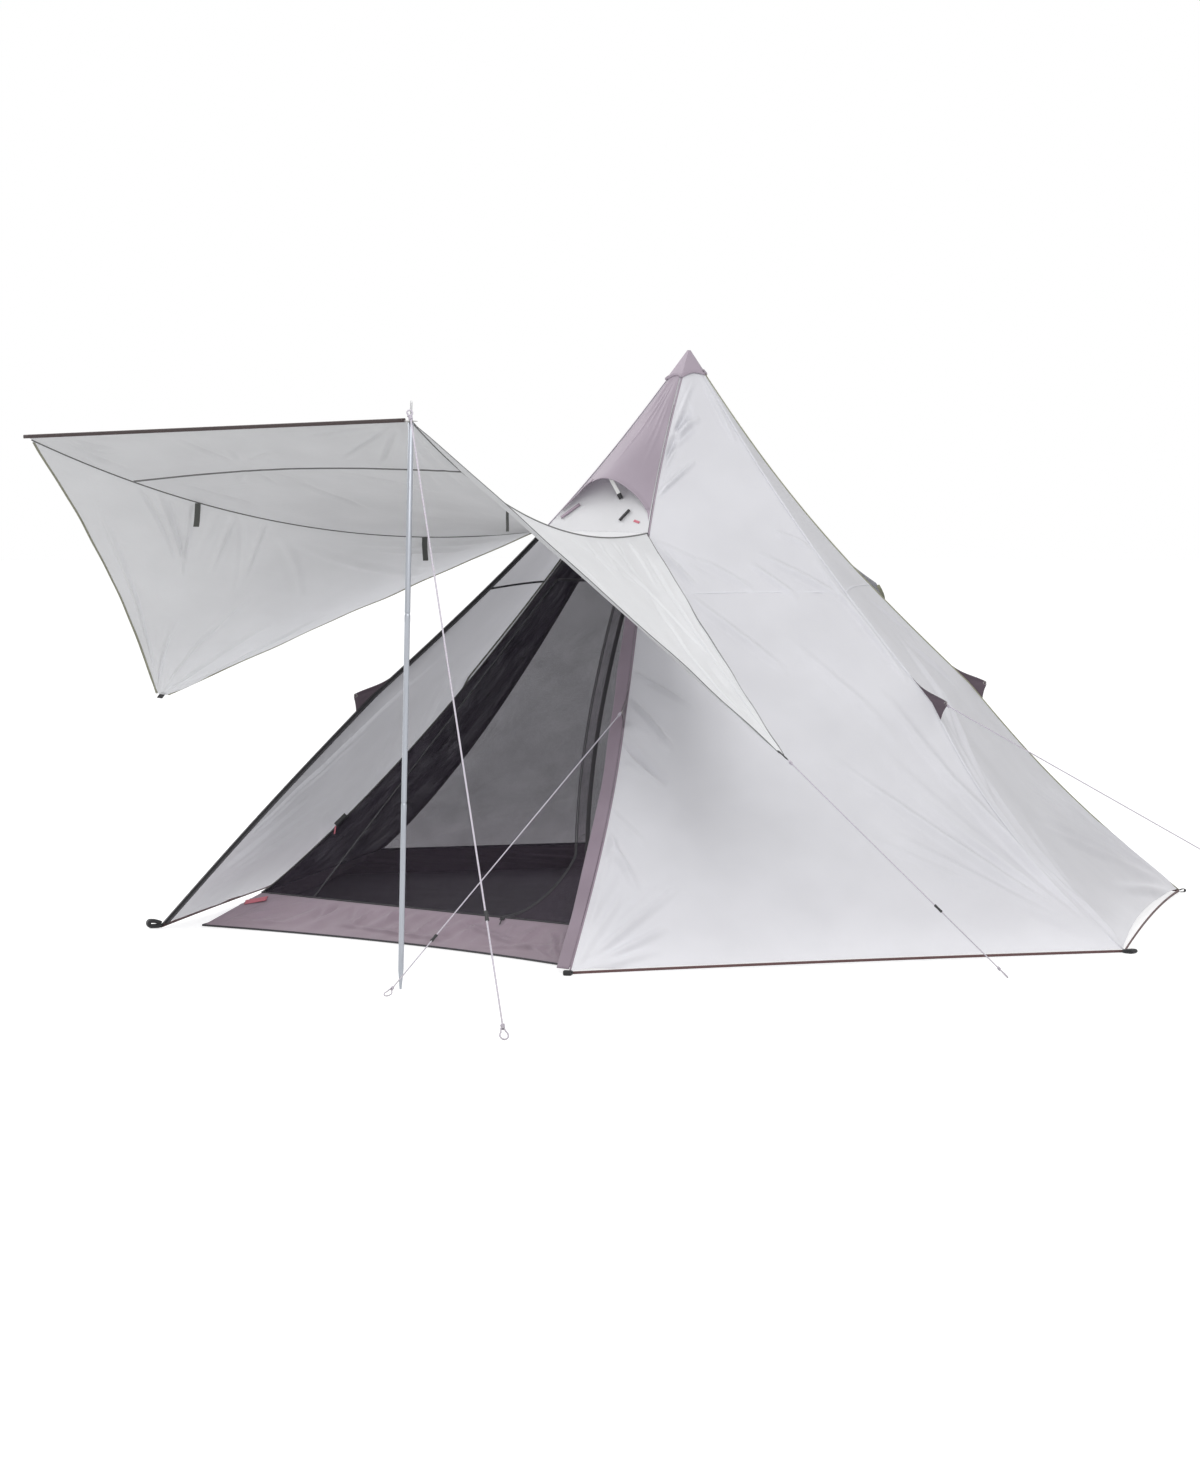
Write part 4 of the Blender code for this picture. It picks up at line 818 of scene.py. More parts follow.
@dataclass(frozen=True)
class CordFinish(Look):
    """Braided cord: two sets of strands crossing, with flecks of a second colour."""

    fleck: Colour
    pitch: float = 0.007

    def paint(self, board: Surface) -> None:
        """Strands, flecks and dust."""
        braid = board.effect(Effect.BRAID, Pitch=self.pitch)
        marks = board.effect(Effect.GRIME)
        base = board.blend(braid["Shade"], shaded(self.colour, 0.7), self.colour)
        _, along, _ = board.parts(board.uv)
        turn = board.math("FRACT", board.math("DIVIDE", along, self.pitch * 2.0))
        spot = board.math("MULTIPLY", board.span(turn, 0.82, 0.88, (0.0, 1.0)), braid["Shade"])
        base = board.blend(board.math("MULTIPLY", spot, 0.6), base, self.fleck)
        base = board.blend(board.math("MULTIPLY", marks["Dust"], 0.3), base, DUST)
        board.give("Base Color", base)
        board.give("Roughness", board.span(marks["Patch"], 0.0, 1.0, (0.62, 0.75)))
        board.relief(board.math("MULTIPLY", braid["Height"], 0.0004))


@dataclass(frozen=True)
class MetalFinish(Look):
    """Drawn and anodised tube: fine streaks along it, with a few duller handling marks."""

    roughness: float = 0.38
    grain: Point = (260.0, 260.0, 6.0)

    def paint(self, board: Surface) -> None:
        """Streaks in the colour, the roughness and the relief."""
        streak = board.noise(board.stretch(board.place, self.grain), 1.0, 3.0)
        marks = board.effect(Effect.GRIME)
        board.give("Base Color", board.blend(streak, shaded(self.colour, 0.86), shaded(self.colour, 1.08)))
        dull = board.math("MULTIPLY_ADD", marks["Patch"], 0.12, self.roughness - 0.06)
        board.give("Roughness", board.math("MULTIPLY_ADD", streak, 0.10, dull))
        board.give("Metallic", 1.0)
        board.relief(board.math("MULTIPLY", streak, 0.00002))


@dataclass(frozen=True)
class PlasticFinish(Look):
    """Moulded plastic: a fine etched surface, a little paler where it is rubbed."""

    roughness: float = 0.5

    def paint(self, board: Surface) -> None:
        """Rubbed patches and the etched surface."""
        etch = board.noise(board.place, 1600.0, 2.0)
        marks = board.effect(Effect.GRIME)
        rubbed = board.math("MULTIPLY", marks["Patch"], 0.25)
        board.give("Base Color", board.blend(rubbed, self.colour, shaded(self.colour, 1.5)))
        board.give("Roughness", board.math("MULTIPLY_ADD", etch, 0.15, self.roughness - 0.07))
        board.relief(board.math("MULTIPLY", etch, 0.00005))


@dataclass(frozen=True)
class GroundFinish(Look):
    """Studio floor: pale and matt, and for the camera bright enough to read white round the shadow."""

    name: str = "studio_floor"
    colour: Colour = (0.47, 0.47, 0.47)
    lift: float = 0.70

    def paint(self, board: Surface) -> None:
        """A soft roughness, and a lift for rays that the camera sees."""
        soft = board.noise(board.place, 0.6, 1.0)
        board.give("Roughness", board.span(soft, 0.0, 1.0, (0.9, 1.0)))
        board.give("Base Color", self.colour)
        seen = board.seen()
        board.give("Emission Color", (1.0, 1.0, 1.0))
        board.give("Emission Strength", board.math("MULTIPLY", seen, self.lift))


class Finish(Enum):
    """The tent's finishes."""

    FLY = ClothFinish("fly_cloth", (0.85, 0.85, 0.89), through=0.25)
    AWNING = ClothFinish("awning_cloth", (0.765, 0.77, 0.785), streak=0.0012, crumple=0.0006, through=0.12)
    WING = ClothFinish("wing_cloth", (0.765, 0.77, 0.785), streak=0.0012, crumple=0.0006, through=0.18)
    VENT = ClothFinish("vent_cloth", (0.81, 0.81, 0.83), crumple=0.0005, through=0.3)
    MAUVE = ClothFinish("mauve_cloth", (0.41, 0.35, 0.41), crumple=0.0006, variation=0.08, through=0.2)
    CAP = ClothFinish("cap_cloth", (0.49, 0.42, 0.49), crumple=0.0006, variation=0.08, through=0.2)
    FLAP = ClothFinish("flap_cloth", (0.298, 0.237, 0.288), crumple=0.0009, size=0.05, variation=0.1)
    FIN = ClothFinish("fin_cloth", (0.105, 0.078, 0.098), crumple=0.0003, variation=0.1)
    TUB = ClothFinish(
        "tub_cloth", (0.312, 0.242, 0.296), crumple=0.0016, size=0.11, variation=0.12, dust=0.25
    )
    GROUND = ClothFinish("groundsheet_cloth", (0.10, 0.09, 0.11), crumple=0.0012, size=0.2)
    HOOD_GREY = ClothFinish("rear_hood_cloth", (0.66, 0.66, 0.69), crumple=0.0005, through=0.3)
    NET = NetFinish("inner_net", (0.042, 0.033, 0.048), (0.24, 0.58))
    NET_EDGE = NetFinish("inner_net_edge", (0.052, 0.040, 0.056), (0.55, 0.76))
    NET_HINGE = NetFinish("inner_net_hinge", (0.042, 0.033, 0.048), (0.38, 0.62))
    NET_SIDE = NetFinish("inner_net_side", (0.040, 0.036, 0.052), (0.93, 1.00))
    BLACK = WebbingFinish("black_webbing", (0.022, 0.022, 0.024), 0.025)
    SEAM = WebbingFinish("ridge_tape", (0.030, 0.028, 0.032), 0.012)
    PALE_SEAM = WebbingFinish("pale_tape", (0.62, 0.62, 0.64), 0.012, 0.0008, (0.45, 0.45, 0.47))
    PIPING = WebbingFinish("grey_piping", (0.16, 0.16, 0.16), 0.012, 0.0008, (0.30, 0.30, 0.30))
    EDGE = WebbingFinish("olive_edging", (0.30, 0.30, 0.22), 0.010, 0.0008, (0.40, 0.40, 0.34))
    BINDING = WebbingFinish("brown_binding", (0.120, 0.062, 0.062), 0.014, 0.0008, (0.20, 0.12, 0.12))
    FRONT = WebbingFinish("front_binding", (0.050, 0.034, 0.034), 0.014, 0.0008, (0.10, 0.07, 0.07))
    TAG = WebbingFinish("red_tag", (0.48, 0.13, 0.17), 0.012, 0.0010, (0.60, 0.24, 0.27))
    TIE = WebbingFinish("grey_webbing", (0.115, 0.120, 0.112), 0.024, 0.0012, (0.20, 0.20, 0.19))
    ZIP = WebbingFinish("zip_tape", (0.035, 0.033, 0.038), 0.010, 0.0008, (0.09, 0.09, 0.10))
    TUBE = MetalFinish("pole_tube", (0.40, 0.42, 0.46))
    STEEL = MetalFinish("spike_steel", (0.52, 0.52, 0.53), 0.32)
    BRASS = MetalFinish("eyelet_metal", (0.36, 0.35, 0.33), 0.4, (180.0, 180.0, 180.0))
    PLASTIC = PlasticFinish("black_plastic", (0.020, 0.020, 0.022))
    WHITE = PlasticFinish("white_plastic", (0.72, 0.72, 0.70), 0.45)
    CORD = CordFinish("guy_cord", (0.70, 0.66, 0.73), (0.42, 0.33, 0.55))
    FLOOR = GroundFinish()

    def material(self) -> Material:
        """The finish's material, built when it is first asked for."""
        return bpy.data.materials.get(LOOK + self.value.name) or self.value.make()


def dress(item: Item, finish: Finish) -> Item:
    """Give a piece its material."""
    item.data.materials.clear()
    item.data.materials.append(finish.material())
    return item


def settle(
    item: Item, finish: Finish, body: str = TENT, node: str = ""
) -> Item:
    """Dress a piece, let it ride on its body, and hide the node that it stands for.

    Args:
        item: The piece.
        finish: Its finish.
        body: The body that it moves with.
        node: The node that it replaces, or an empty name.

    Returns:
        The piece.
    """
    dress(item, finish)
    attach(item, body)
    if node:
        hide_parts(node)
    LOG.info("%s: %s, on %s", item.name, finish.name.lower(), body)
    return item


def cloth_piece(
    name: str, flat: Array, rise: Array | None, finish: Finish, slot: str, node: str,
    rests_on: tuple[str, ...] = ("ridge_seams",), body: str = TENT, held: str = "stretched", **form: object
) -> Array:
    """A finished cloth, built as its smooth grid lies, raised by its folds.

    Its length, the grid's longest column, is worked out but not used. Its width is the longest
    row, or twice the grid's area over that length where this is less.

    Args:
        name: The piece's name.
        flat: Its smooth grid.
        rise: Height of its folds over the grid, if it has any.
        finish: Its finish.
        slot: Not used.
        node: The node that it replaces, or an empty name.
        rests_on: Not used.
        body: The body that it moves with.
        form: Wall, offset and ring of the cloth object.

    Returns:
        The grid as it was built.
    """
    final = flat if rise is None else raised(flat, rise)
    if form.get("ring"):
        final[:, -1] = final[:, 0]
    item = settle(cloth_object(name, final, **form), finish, body, node)
    length = float(lengths_along(flat.transpose(1, 0, 2))[:, -1].max())
    return final


def raised(points: Array, rise: Array) -> Array:
    """A grid moved along its own normals."""
    return points + surface_normals(points) * rise[..., None]


def band(
    name: str, path: Array, side: Array, size: tuple[float, ...], finish: Finish,
    body: str = TENT, node: str = "", loop: bool = False
) -> Item:
    """A finished tape, edging or flat bar.

    Args:
        name: The piece's name.
        path: Its middle line.
        side: Direction of its width.
        size: Its width and thickness, and where needed its profile's points and squareness.
        finish: Its finish.
        body: The body that it moves with.
        node: The node that it replaces, or an empty name.
        loop: Whether its end joins its start.

    Returns:
        The piece.
    """
    return settle(swept_object(name, path, side, band_profile(*size), loop), finish, body, node)


def patch(
    name: str, start: Array, end: Array, across: Array, size: Pair, finish: Finish,
    slot: str, body: str = TENT
) -> Item:
    """A small fitting: a short band between two points."""
    path = mix(start, end, np.linspace(0.0, 1.0, PATCH_POINTS))
    return band(name, path, unit(across), size, finish, body)


def middle_of(node: str) -> Array:
    """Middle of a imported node's box."""
    low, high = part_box(node)
    return (np.array(low) + np.array(high)) / 2


def waisted(item: Item, path: Array, size: Array) -> None:
    """Draw a swept piece in about its path by a factor at each of the path's points."""
    co = np.empty(len(item.data.vertices) * 3, np.float32)
    item.data.vertices.foreach_get("co", co)
    rings = co.reshape(len(path), -1, 3)
    rings = path[:, None] + (rings - path[:, None]) * size[:, None, None]
    item.data.vertices.foreach_set("co", rings.astype(np.float32).ravel())


# The fly

class Corner(Enum):
    """The fly's six corners, counter-clockwise from the door's left side."""

    FRONT_LEFT = 0
    FRONT_RIGHT = 1
    RIGHT = 2
    BACK_RIGHT = 3
    BACK_LEFT = 4
    LEFT = 5


@dataclass(frozen=True)
class FlyShape:
    """Form of the fly: straight ridges drawn in by two scallops each, and panels between them."""

    corner_radius: float = 2.150
    apex: float = 2.225
    top: float = 2.165
    foot: float = 0.0143
    fin_height: float = 0.882
    belly: float = 0.015
    seam_width: float = 0.012
    upper: tuple[float, ...] = (0.037, 0.037, 0.028, 0.040, 0.034, 0.034)
    fin: tuple[float, ...] = (0.0, 0.0, 0.032, 0.045, 0.038, 0.038)
    lower: tuple[float, ...] = (-0.006, -0.006, 0.050, 0.025, 0.045, 0.045)
    sway: tuple[float, ...] = (0.0, 0.038, 0.0, 0.0, 0.0, 0.0)
    door_top: float = 1.520

    def ray(self, index: int) -> Array:
        """Level direction from the centre to a corner."""
        angle = math.radians(240.0 + 60.0 * index)
        return np.array([math.cos(angle), math.sin(angle), 0.0])

    def outward(self, index: int) -> Array:
        """Level outward direction of the side between a corner and the next."""
        angle = math.radians(270.0 + 60.0 * index)
        return np.array([math.cos(angle), math.sin(angle), 0.0])

    def ridge(self, index: int, height: Array) -> Array:
        """Points on a ridge: the corner radius less the rise and less its scallops.

        Above the fin the radius is drawn in by the fin's share times the way down plus the upper
        share times sin(pi way); below it by the fin's share times the way up plus the lower share
        times sin(pi way). One ridge sways sideways by a sine over the whole height.

        Args:
            index: The corner's number.
            height: Heights above the ground.

        Returns:
            A point for each height.
        """
        index %= SIDES
        height = np.asarray(height, float)
        rise = height / self.apex
        split = self.fin_height / self.apex
        above = (1.0 - rise) / (1.0 - split)
        below = rise / split
        drawn_above = self.fin[index] * above + self.upper[index] * np.sin(math.pi * above)
        drawn_below = self.fin[index] * below + self.lower[index] * np.sin(math.pi * below)
        radius = self.corner_radius * (1.0 - rise - np.where(rise > split, drawn_above, drawn_below))
        ray = self.ray(index)
        sway = self.sway[index] * np.sin(math.tau * rise)
        return radius[..., None] * ray + sway[..., None] * np.cross(UP, ray) + height[..., None] * UP

    def inset(self) -> float:
        """How far a panel stays from its ridge, along its chord, to clear the seam."""
        return (self.seam_width / 2 + GAP) / math.cos(math.pi / SIDES)

    def panel(self, index: int, share: Array, height: Array, inset: float, belly: float) -> Array:
        """Points between a ridge and the next: the chord, drawn in by sin(pi share) sin(pi rise)."""
        share, height = np.broadcast_arrays(np.asarray(share, float), np.asarray(height, float))
        left, right = self.ridge(index, height), self.ridge(index + 1, height)
        along = unit(right - left)
        depth = belly * np.sin(math.pi * share) * np.sin(math.pi * height / self.apex)
        chord = mix(left + along * inset, right - along * inset, share)
        return chord - depth[..., None] * self.outward(index)

    def width(self, index: int, height: Array) -> Array:
        """Width of a side at a height."""
        return np.linalg.norm(self.ridge(index + 1, height) - self.ridge(index, height), axis=-1)

    def normal(self, index: int, low: float, high: float) -> Array:
        """Outward direction, square to the cloth, of a side between two heights."""
        across = self.ridge(index + 1, np.array(low)) - self.ridge(index, np.array(low))
        middle = self.panel(index, 0.5, np.array([low, high]), 0.0, self.belly)
        return unit(np.cross(across, middle[1] - middle[0]))


SHAPE = FlyShape()
PANELS = {1: "front_right", 2: "back_right", 3: "back", 4: "back_left", 5: "front_left"}


@dataclass
class FlyPanel:
    """One panel of the fly, with its folds."""

    name: str
    index: int
    columns: int
    rows: int
    lift: float
    tuck: float
    folds: list[Fold]
    crumple_depth: float = 0.0016
    tight: float = 0.45

    def grid(self) -> tuple[Array, Array, Array]:
        """Points of the panel, and its flat coordinates: across from its middle, and height."""
        share = np.linspace(0.0, 1.0, self.columns)[None]
        way = np.linspace(0.0, 1.0, self.rows)[:, None]
        low = SHAPE.foot + self.lift * arch(share)
        height = low + (SHAPE.top - low) * way
        points = SHAPE.panel(self.index, share, height, SHAPE.inset() * self.tight, SHAPE.belly)
        tuck = self.tuck * arch(share) * np.exp(-((height / 0.30) ** 2))
        points = points - tuck[..., None] * SHAPE.outward(self.index)
        x = (share - 0.5) * SHAPE.width(self.index, height)
        return points, x, np.broadcast_to(height, x.shape)

    def build(self) -> None:
        """The panel: its grid, raised by its folds and a soft unevenness that fade at its edges."""
        points, x, y = self.grid()
        edge = np.minimum(lengths_along(points), lengths_along(points[:, ::-1])[:, ::-1])
        pinned = 0.15 + 0.85 * smooth(edge / 0.035)
        rise = folded(x, y, self.folds) + crumple(x, y, self.crumple_depth, 0.24, 11 + self.index)
        rise = rise * pinned * smooth((SHAPE.top - y) / 0.12)
        node = "fly_panel_" + self.name
        rests_on = ("ridge_seams", "hem_binding")
        cloth_piece("fly_cloth_" + self.name, points, rise, Finish.FLY, "fly_cloth", node, rests_on)


PEG_LOOPS = {
    Corner.FRONT_LEFT: (1.15, 1.30, 0.036, 0.0150),
    Corner.RIGHT: (1.0, 0.55, 0.034, 0.0090),
    Corner.FRONT_RIGHT: (0.9, 0.80, 0.028, 0.0070),
    Corner.BACK_RIGHT: (0.6, 0.80, 0.020, 0.0018),
}


@dataclass
class Fly:
    """The fly: panels, ridge seams, cap, hoods, door edges, fins, hem and peg loops."""

    seam_thickness: float = 0.006
    hem_height: float = 0.014
    hem_thickness: float = 0.004
    cap_bottom: float = 2.105
    cap_scallop: float = 0.014
    cap_rise: float = 0.011
    cap_stand: float = 0.0066
    flap_foot: float = 0.0186
    flap_head: float = 1.490
    fin_above: float = 0.100
    fin_below: float = 0.062
    fin_standoff: float = 0.075
    fin_tip: float = 0.012
    fin_root: float = 0.0035
    ring_radius: float = 0.006
    ring_wire: float = 0.0016
    ring_inset: float = 0.007
    hood_side: float = 1.560
    hood_arch: float = 1.690
    hood_top: float = 2.150
    hood_bulge: float = 0.085
    hood_inset: float = 0.004
    hood_stand: float = 0.0028
    hood_size: Pair = (0.65, 0.6)
    prop_half: float = 0.046
    prop_axis: Point = (0.0, -0.28942, 0.9572)
    prop_lean: float = 0.42
    rear_foot: float = 1.120
    rear_head: float = 1.420
    rear_stand: Pair = (0.034, 0.085)
    seam_level: float = 1.290
    upper_seam: float = 0.55
    hem_rise: tuple[Pair, ...] = (
        (0.004, 0.0), (0.026, 0.0), (0.012, 0.01), (0.012, 0.01), (0.010, 0.01)
    )

    def plain_folds(self, seed: int) -> list[Fold]:
        """Folds of a rear panel: a fan from each of its lower corners."""
        half = SHAPE.corner_radius / 2
        return [
            *fan((half, 0.0), (124.0, 168.0), (0.4, 1.5), 8, 0.024, 0.0143, seed),
            *fan((-half, 0.0), (14.0, 56.0), (0.4, 1.5), 8, 0.024, 0.0143, seed + 1),
        ]

    def panels(self) -> None:
        """Five panels, each with the folds that its own corners pull into it."""
        half = SHAPE.corner_radius / 2
        right = [
            *FRONT_RIGHT_FOLDS,
            *fan((half, 0.0), (116.0, 154.0), (0.7, 1.3), 8, 0.023, 0.0179, 1),
            *fan((-half, 0.0), (12.0, 58.0), (0.35, 0.70), 7, 0.020, 0.0160, 2),
        ]
        back_right = [
            *BACK_RIGHT_FOLDS,
            *fan((half, 0.0), (138.0, 172.0), (0.6, 1.4), 9, 0.024, 0.0179, 3),
            *fan((-half, 0.0), (28.0, 60.0), (0.3, 1.1), 6, 0.022, 0.0125, 4),
        ]
        left = [
            *fan((half, 0.0), (124.0, 168.0), (0.4, 1.4), 8, 0.024, 0.0143, 5),
            *fan((-half, 0.0), (18.0, 56.0), (0.4, 1.4), 8, 0.024, 0.0143, 6),
        ]
        grids = ((300, 290), (260, 250), (210, 200), (210, 200), (220, 210))
        folds = (right, back_right, self.plain_folds(20), self.plain_folds(24), left)
        for (index, name), size, rise, held in zip(PANELS.items(), grids, folds, self.hem_rise):
            FlyPanel(name, index, *size, *held, rise).build()

    def seams(self) -> None:
        """Taped seams along the six ridges: a rounded band carried up each ridge."""
        height = np.linspace(SHAPE.foot - 0.004, SHAPE.top + 0.006, 90)
        profile = band_profile(SHAPE.seam_width, self.seam_thickness)
        widths = {Corner.FRONT_LEFT: (1.7, 1.0), Corner.FRONT_RIGHT: (0.55, 0.55), Corner.RIGHT: (0.9, 0.35)}
        finishes = (Finish.SEAM, Finish.FLAP, Finish.FLY, Finish.EDGE, Finish.PALE_SEAM, Finish.EDGE)
        for corner, finish in zip(Corner, finishes):
            side = np.cross(UP, SHAPE.ray(corner.value))
            name = "ridge_seam_" + corner.name.lower()
            door = corner in (Corner.FRONT_LEFT, Corner.FRONT_RIGHT)
            low = SHAPE.ridge(corner.value, height[height < SHAPE.door_top] if door else height)
            item = swept_object(name, low, side, profile * widths.get(corner, (1.0, 1.0)))
            settle(item, finish, node="" if corner.value else "ridge_seams")
            if door:
                high = SHAPE.ridge(corner.value, height[height >= SHAPE.door_top - 0.03])
                upper = swept_object(name + "_upper", high, side, profile * self.upper_seam)
                settle(upper, Finish.MAUVE)

    def level_seams(self) -> None:
        """Sewn joins across the panels at one level: a thin band laid along each panel."""
        share = np.linspace(0.0, 1.0, 120)
        for index, name in PANELS.items():
            level = self.seam_level + 0.006 * np.sin(share * math.pi)
            path = SHAPE.panel(index, share, level, SHAPE.inset(), SHAPE.belly)
            inside = index == Corner.LEFT.value
            path = path + SHAPE.normal(index, 1.1, 1.3) * (-0.002 if inside else 0.0004)
            low, high = SHAPE.panel(index, 0.5, np.array([1.15, 1.25]), 0.0, SHAPE.belly)
            size = (0.010, 0.003) if inside else (0.008, 0.0016)
            finish = Finish.BLACK if inside else Finish.FLY
            band("level_seam_" + name, path, unit(high - low), size, finish)

    def hem(self) -> None:
        """Bound hem round the five panels: a band carried along their lower edges."""
        parts = []
        share = np.linspace(0.0, 1.0, 40)
        level = self.hem_height / 2
        for index, (lift, tuck) in enumerate(self.hem_rise, 1):
            line = mix(SHAPE.ridge(index, level), SHAPE.ridge(index + 1, level), share)
            line = line + arch(share)[:, None] * (lift * UP - tuck * SHAPE.outward(index))
            parts.append(line if index == 1 else line[1:])
        path = np.concatenate(parts)
        path[:, :2] *= 1.0 - 0.0022 / np.linalg.norm(path[:, :2], axis=1, keepdims=True)
        size = (self.hem_height * 0.7, self.hem_thickness)
        band("hem_tape", path, UP, size, Finish.BINDING, node="hem_binding")
        for corner in Corner:
            self.peg_loop(corner)

    def peg_loop(self, corner: Corner) -> None:
        """Webbing loop at a corner: a band that runs out low, turns and comes back above itself."""
        ray = SHAPE.ray(corner.value)
        base = float(np.linalg.norm(SHAPE.ridge(corner.value, np.array(0.007))[:2]))
        stretch, tall, wide, thick = PEG_LOOPS.get(corner, (1.0, 1.0, 0.024, 0.0018))
        turn = np.linspace(-math.pi / 2, math.pi / 2, 14)
        end_out, end_up = 0.034 + 0.008 * np.cos(turn), 0.0100 + 0.0078 * np.sin(turn)
        out = stretch * np.concatenate([[0.0, 0.012, 0.022], end_out, [0.022, 0.012, 0.0]])
        up = np.concatenate([[0.0040, 0.0022, 0.0022], end_up, [0.0172, 0.0150, 0.0115]])
        path = (base + out)[:, None] * ray + (up * tall + (thick - 0.0018) / 2)[:, None] * UP
        name, side = "peg_loop_" + corner.name.lower(), np.cross(UP, ray)
        band(name, path, side, (wide, thick), Finish.BLACK)

    def cap_point(self, index: int, share: Array, way: Array) -> Array:
        """Points on the cap: straight between its corners, its lower edge cut up in a curve."""
        turn = np.radians(240.0 + 60.0 * (index + share))
        cut = self.cap_scallop * np.sin(math.pi * share) + self.cap_rise * (1.0 + np.cos(turn - BACK_TURN))
        cut = cut * np.clip(1.0 - way * 1.25, 0.0, 1.0)
        level = self.cap_bottom + (SHAPE.apex - self.cap_bottom) * way + cut
        left = SHAPE.ridge(index, level) + SHAPE.ray(index) * self.cap_stand
        right = SHAPE.ridge(index + 1, level) + SHAPE.ray(index + 1) * self.cap_stand
        return mix(left, right, share)

    def cap(self) -> None:
        """Six-sided cap, closed at its top, with its hem."""
        points = ring_grid(16, 26, self.cap_point)
        top = np.broadcast_to(points[-1].mean(axis=0), points[-1].shape)
        points = np.concatenate([points, top[None]])
        cloth_piece(
            "cap_cloth", points, None, Finish.CAP, "mauve_cloth", "apex_cap", wall=CLOTH_WALL, ring=True
        )
        path = points[0, :-1] + UP * 0.005
        band("cap_hem", path, UP, (0.009, 0.0018), Finish.CAP, loop=True)

    def front_normal(self) -> Array:
        """Direction square to the front of the fly, above its door."""
        return SHAPE.normal(0, SHAPE.door_top, self.hood_top)

    def hood_points(self, share: Array, way: Array) -> Array:
        """Points on the hood: off the vent panel most in the middle of its arched lower edge."""
        bow = np.sin(math.pi * share)
        low = self.hood_side + (self.hood_arch - 0.018 - self.hood_side) * bow ** 0.45
        height = low + (self.hood_top - low) * way
        base = SHAPE.panel(0, share, height, SHAPE.inset() + self.hood_inset, 0.0)
        stand = self.hood_stand + self.hood_bulge * bow * (1.0 - way) ** 2
        return base + stand[..., None] * self.front_normal()

    def vent(self) -> None:
        """Hood, vent panel behind it, and the prop between them."""
        share, way = shares_of(80, 90)
        hood = self.hood_points(share, way)
        x, y = (share - 0.5) * self.hood_size[0] * (1.02 - way), way * self.hood_size[1]
        folds = fan((0.0, 0.62), (-112.0, -68.0), (0.25, 0.55), 6, 0.012, 0.0022, 31)
        rise = folded(x, y, folds) + crumple(x, y, 0.0012, 0.16, 33)
        rise = rise * smooth(np.minimum(share, 1.0 - share) / 0.08) * smooth((1.0 - way) / 0.1)
        final = cloth_piece("hood_cloth", hood, rise, Finish.MAUVE, "mauve_cloth", "vent_hood")
        edge = final[0] + UP * 0.001
        upward = unit(hood[2, 40] - hood[0, 40])
        band("hood_hem", edge[2:-2] + upward * 0.008, upward, (0.016, 0.0026), Finish.MAUVE)
        # Dark mauve band along the hood's lower left edge: painted shade where that edge lies in shadow, not
        # a binding of its own.
        side = edge[1:26] + upward * 0.009 + self.front_normal() * 0.0030
        band("hood_side_painted_shade", side, upward, (0.020, 0.0024), Finish.FLAP)
        share, way = shares_of(60, 60)
        height = SHAPE.door_top + GAP + (SHAPE.top - SHAPE.door_top - GAP) * way
        points = SHAPE.panel(0, share, height, SHAPE.inset(), 0.0)
        cloth_piece("vent_cloth", points, None, Finish.VENT, "vent_cloth", "vent_panel")
        self.prop()
        self.vent_fittings()

    def vent_fittings(self) -> None:
        """Loop, toggle and tag on the vent panel: short bands laid on it."""
        out = self.front_normal()
        for name, shares, heights, size, finish, slot in (
            ("vent_loop", (0.07, 0.155), (1.565, 1.618), (0.013, 0.0060), Finish.FLAP, "mauve_cloth"),
            ("vent_toggle", (0.70, 0.765), (1.560, 1.600), (0.012, 0.0070), Finish.BLACK, "black_webbing"),
            ("vent_tag", (0.84, 0.90), (1.563, 1.556), (0.010, 0.0016), Finish.TAG, "white_plastic"),
        ):
            ends = SHAPE.panel(0, shares, heights, SHAPE.inset(), 0.0)
            start, end = ends + out * size[1]
            patch(name, start, end, np.cross(end - start, out), size, finish, slot)

    def prop(self) -> None:
        """Prop of the hood: a flat bar with rounded ends, from the vent panel to the hood's edge."""
        way = np.linspace(-self.prop_half, self.prop_half, 24)
        size = 1.0 - 0.55 * np.clip((np.abs(way) - self.prop_half + 0.006) / 0.006, 0.0, 1.0) ** 2
        path = middle_of("vent_prop") + way[:, None] * unit(np.array(self.prop_axis))
        path = path - (0.004 + way * self.prop_lean)[:, None] * ACROSS
        item = swept_object("hood_prop", path, ACROSS, band_profile(0.020, 0.0032, 20, 3.0))
        waisted(item, path, size)
        settle(item, Finish.WHITE, "vent_prop", "vent_prop")
        size = (0.022, 0.0060)
        patch("prop_foot", path[0], path[5], ACROSS, size, Finish.BLACK, "white_plastic", "vent_prop")

    def rear_vent(self) -> None:
        """Wide hood of the rear vent: sewn on along its top, standing off below."""
        share, way = shares_of(90, 40)
        bow = np.sin(math.pi * share)
        height = mix_number(self.rear_foot, self.rear_head, way)
        height = height + (self.rear_head - height) * (2.0 * share - 1.0) ** 4 / 2
        base = SHAPE.panel(3, share, height, SHAPE.inset() + self.hood_inset, SHAPE.belly)
        bulge = self.rear_stand[0] + self.rear_stand[1] * bow
        stand = self.hood_stand + bulge * (1.0 - way) ** 1.5
        points = base + stand[..., None] * SHAPE.normal(3, self.rear_foot, self.rear_head)
        cloth_piece(
            "rear_hood_cloth", points, None, Finish.HOOD_GREY, "grey_cloth", "rear_vent_hood",
            ("fly_panel_back",), wall=CLOTH_WALL
        )
        upward = unit(points[1, 45] - points[0, 45])
        band("rear_hood_hem", points[0, 1:-1], upward, (0.014, 0.0026), Finish.EDGE)

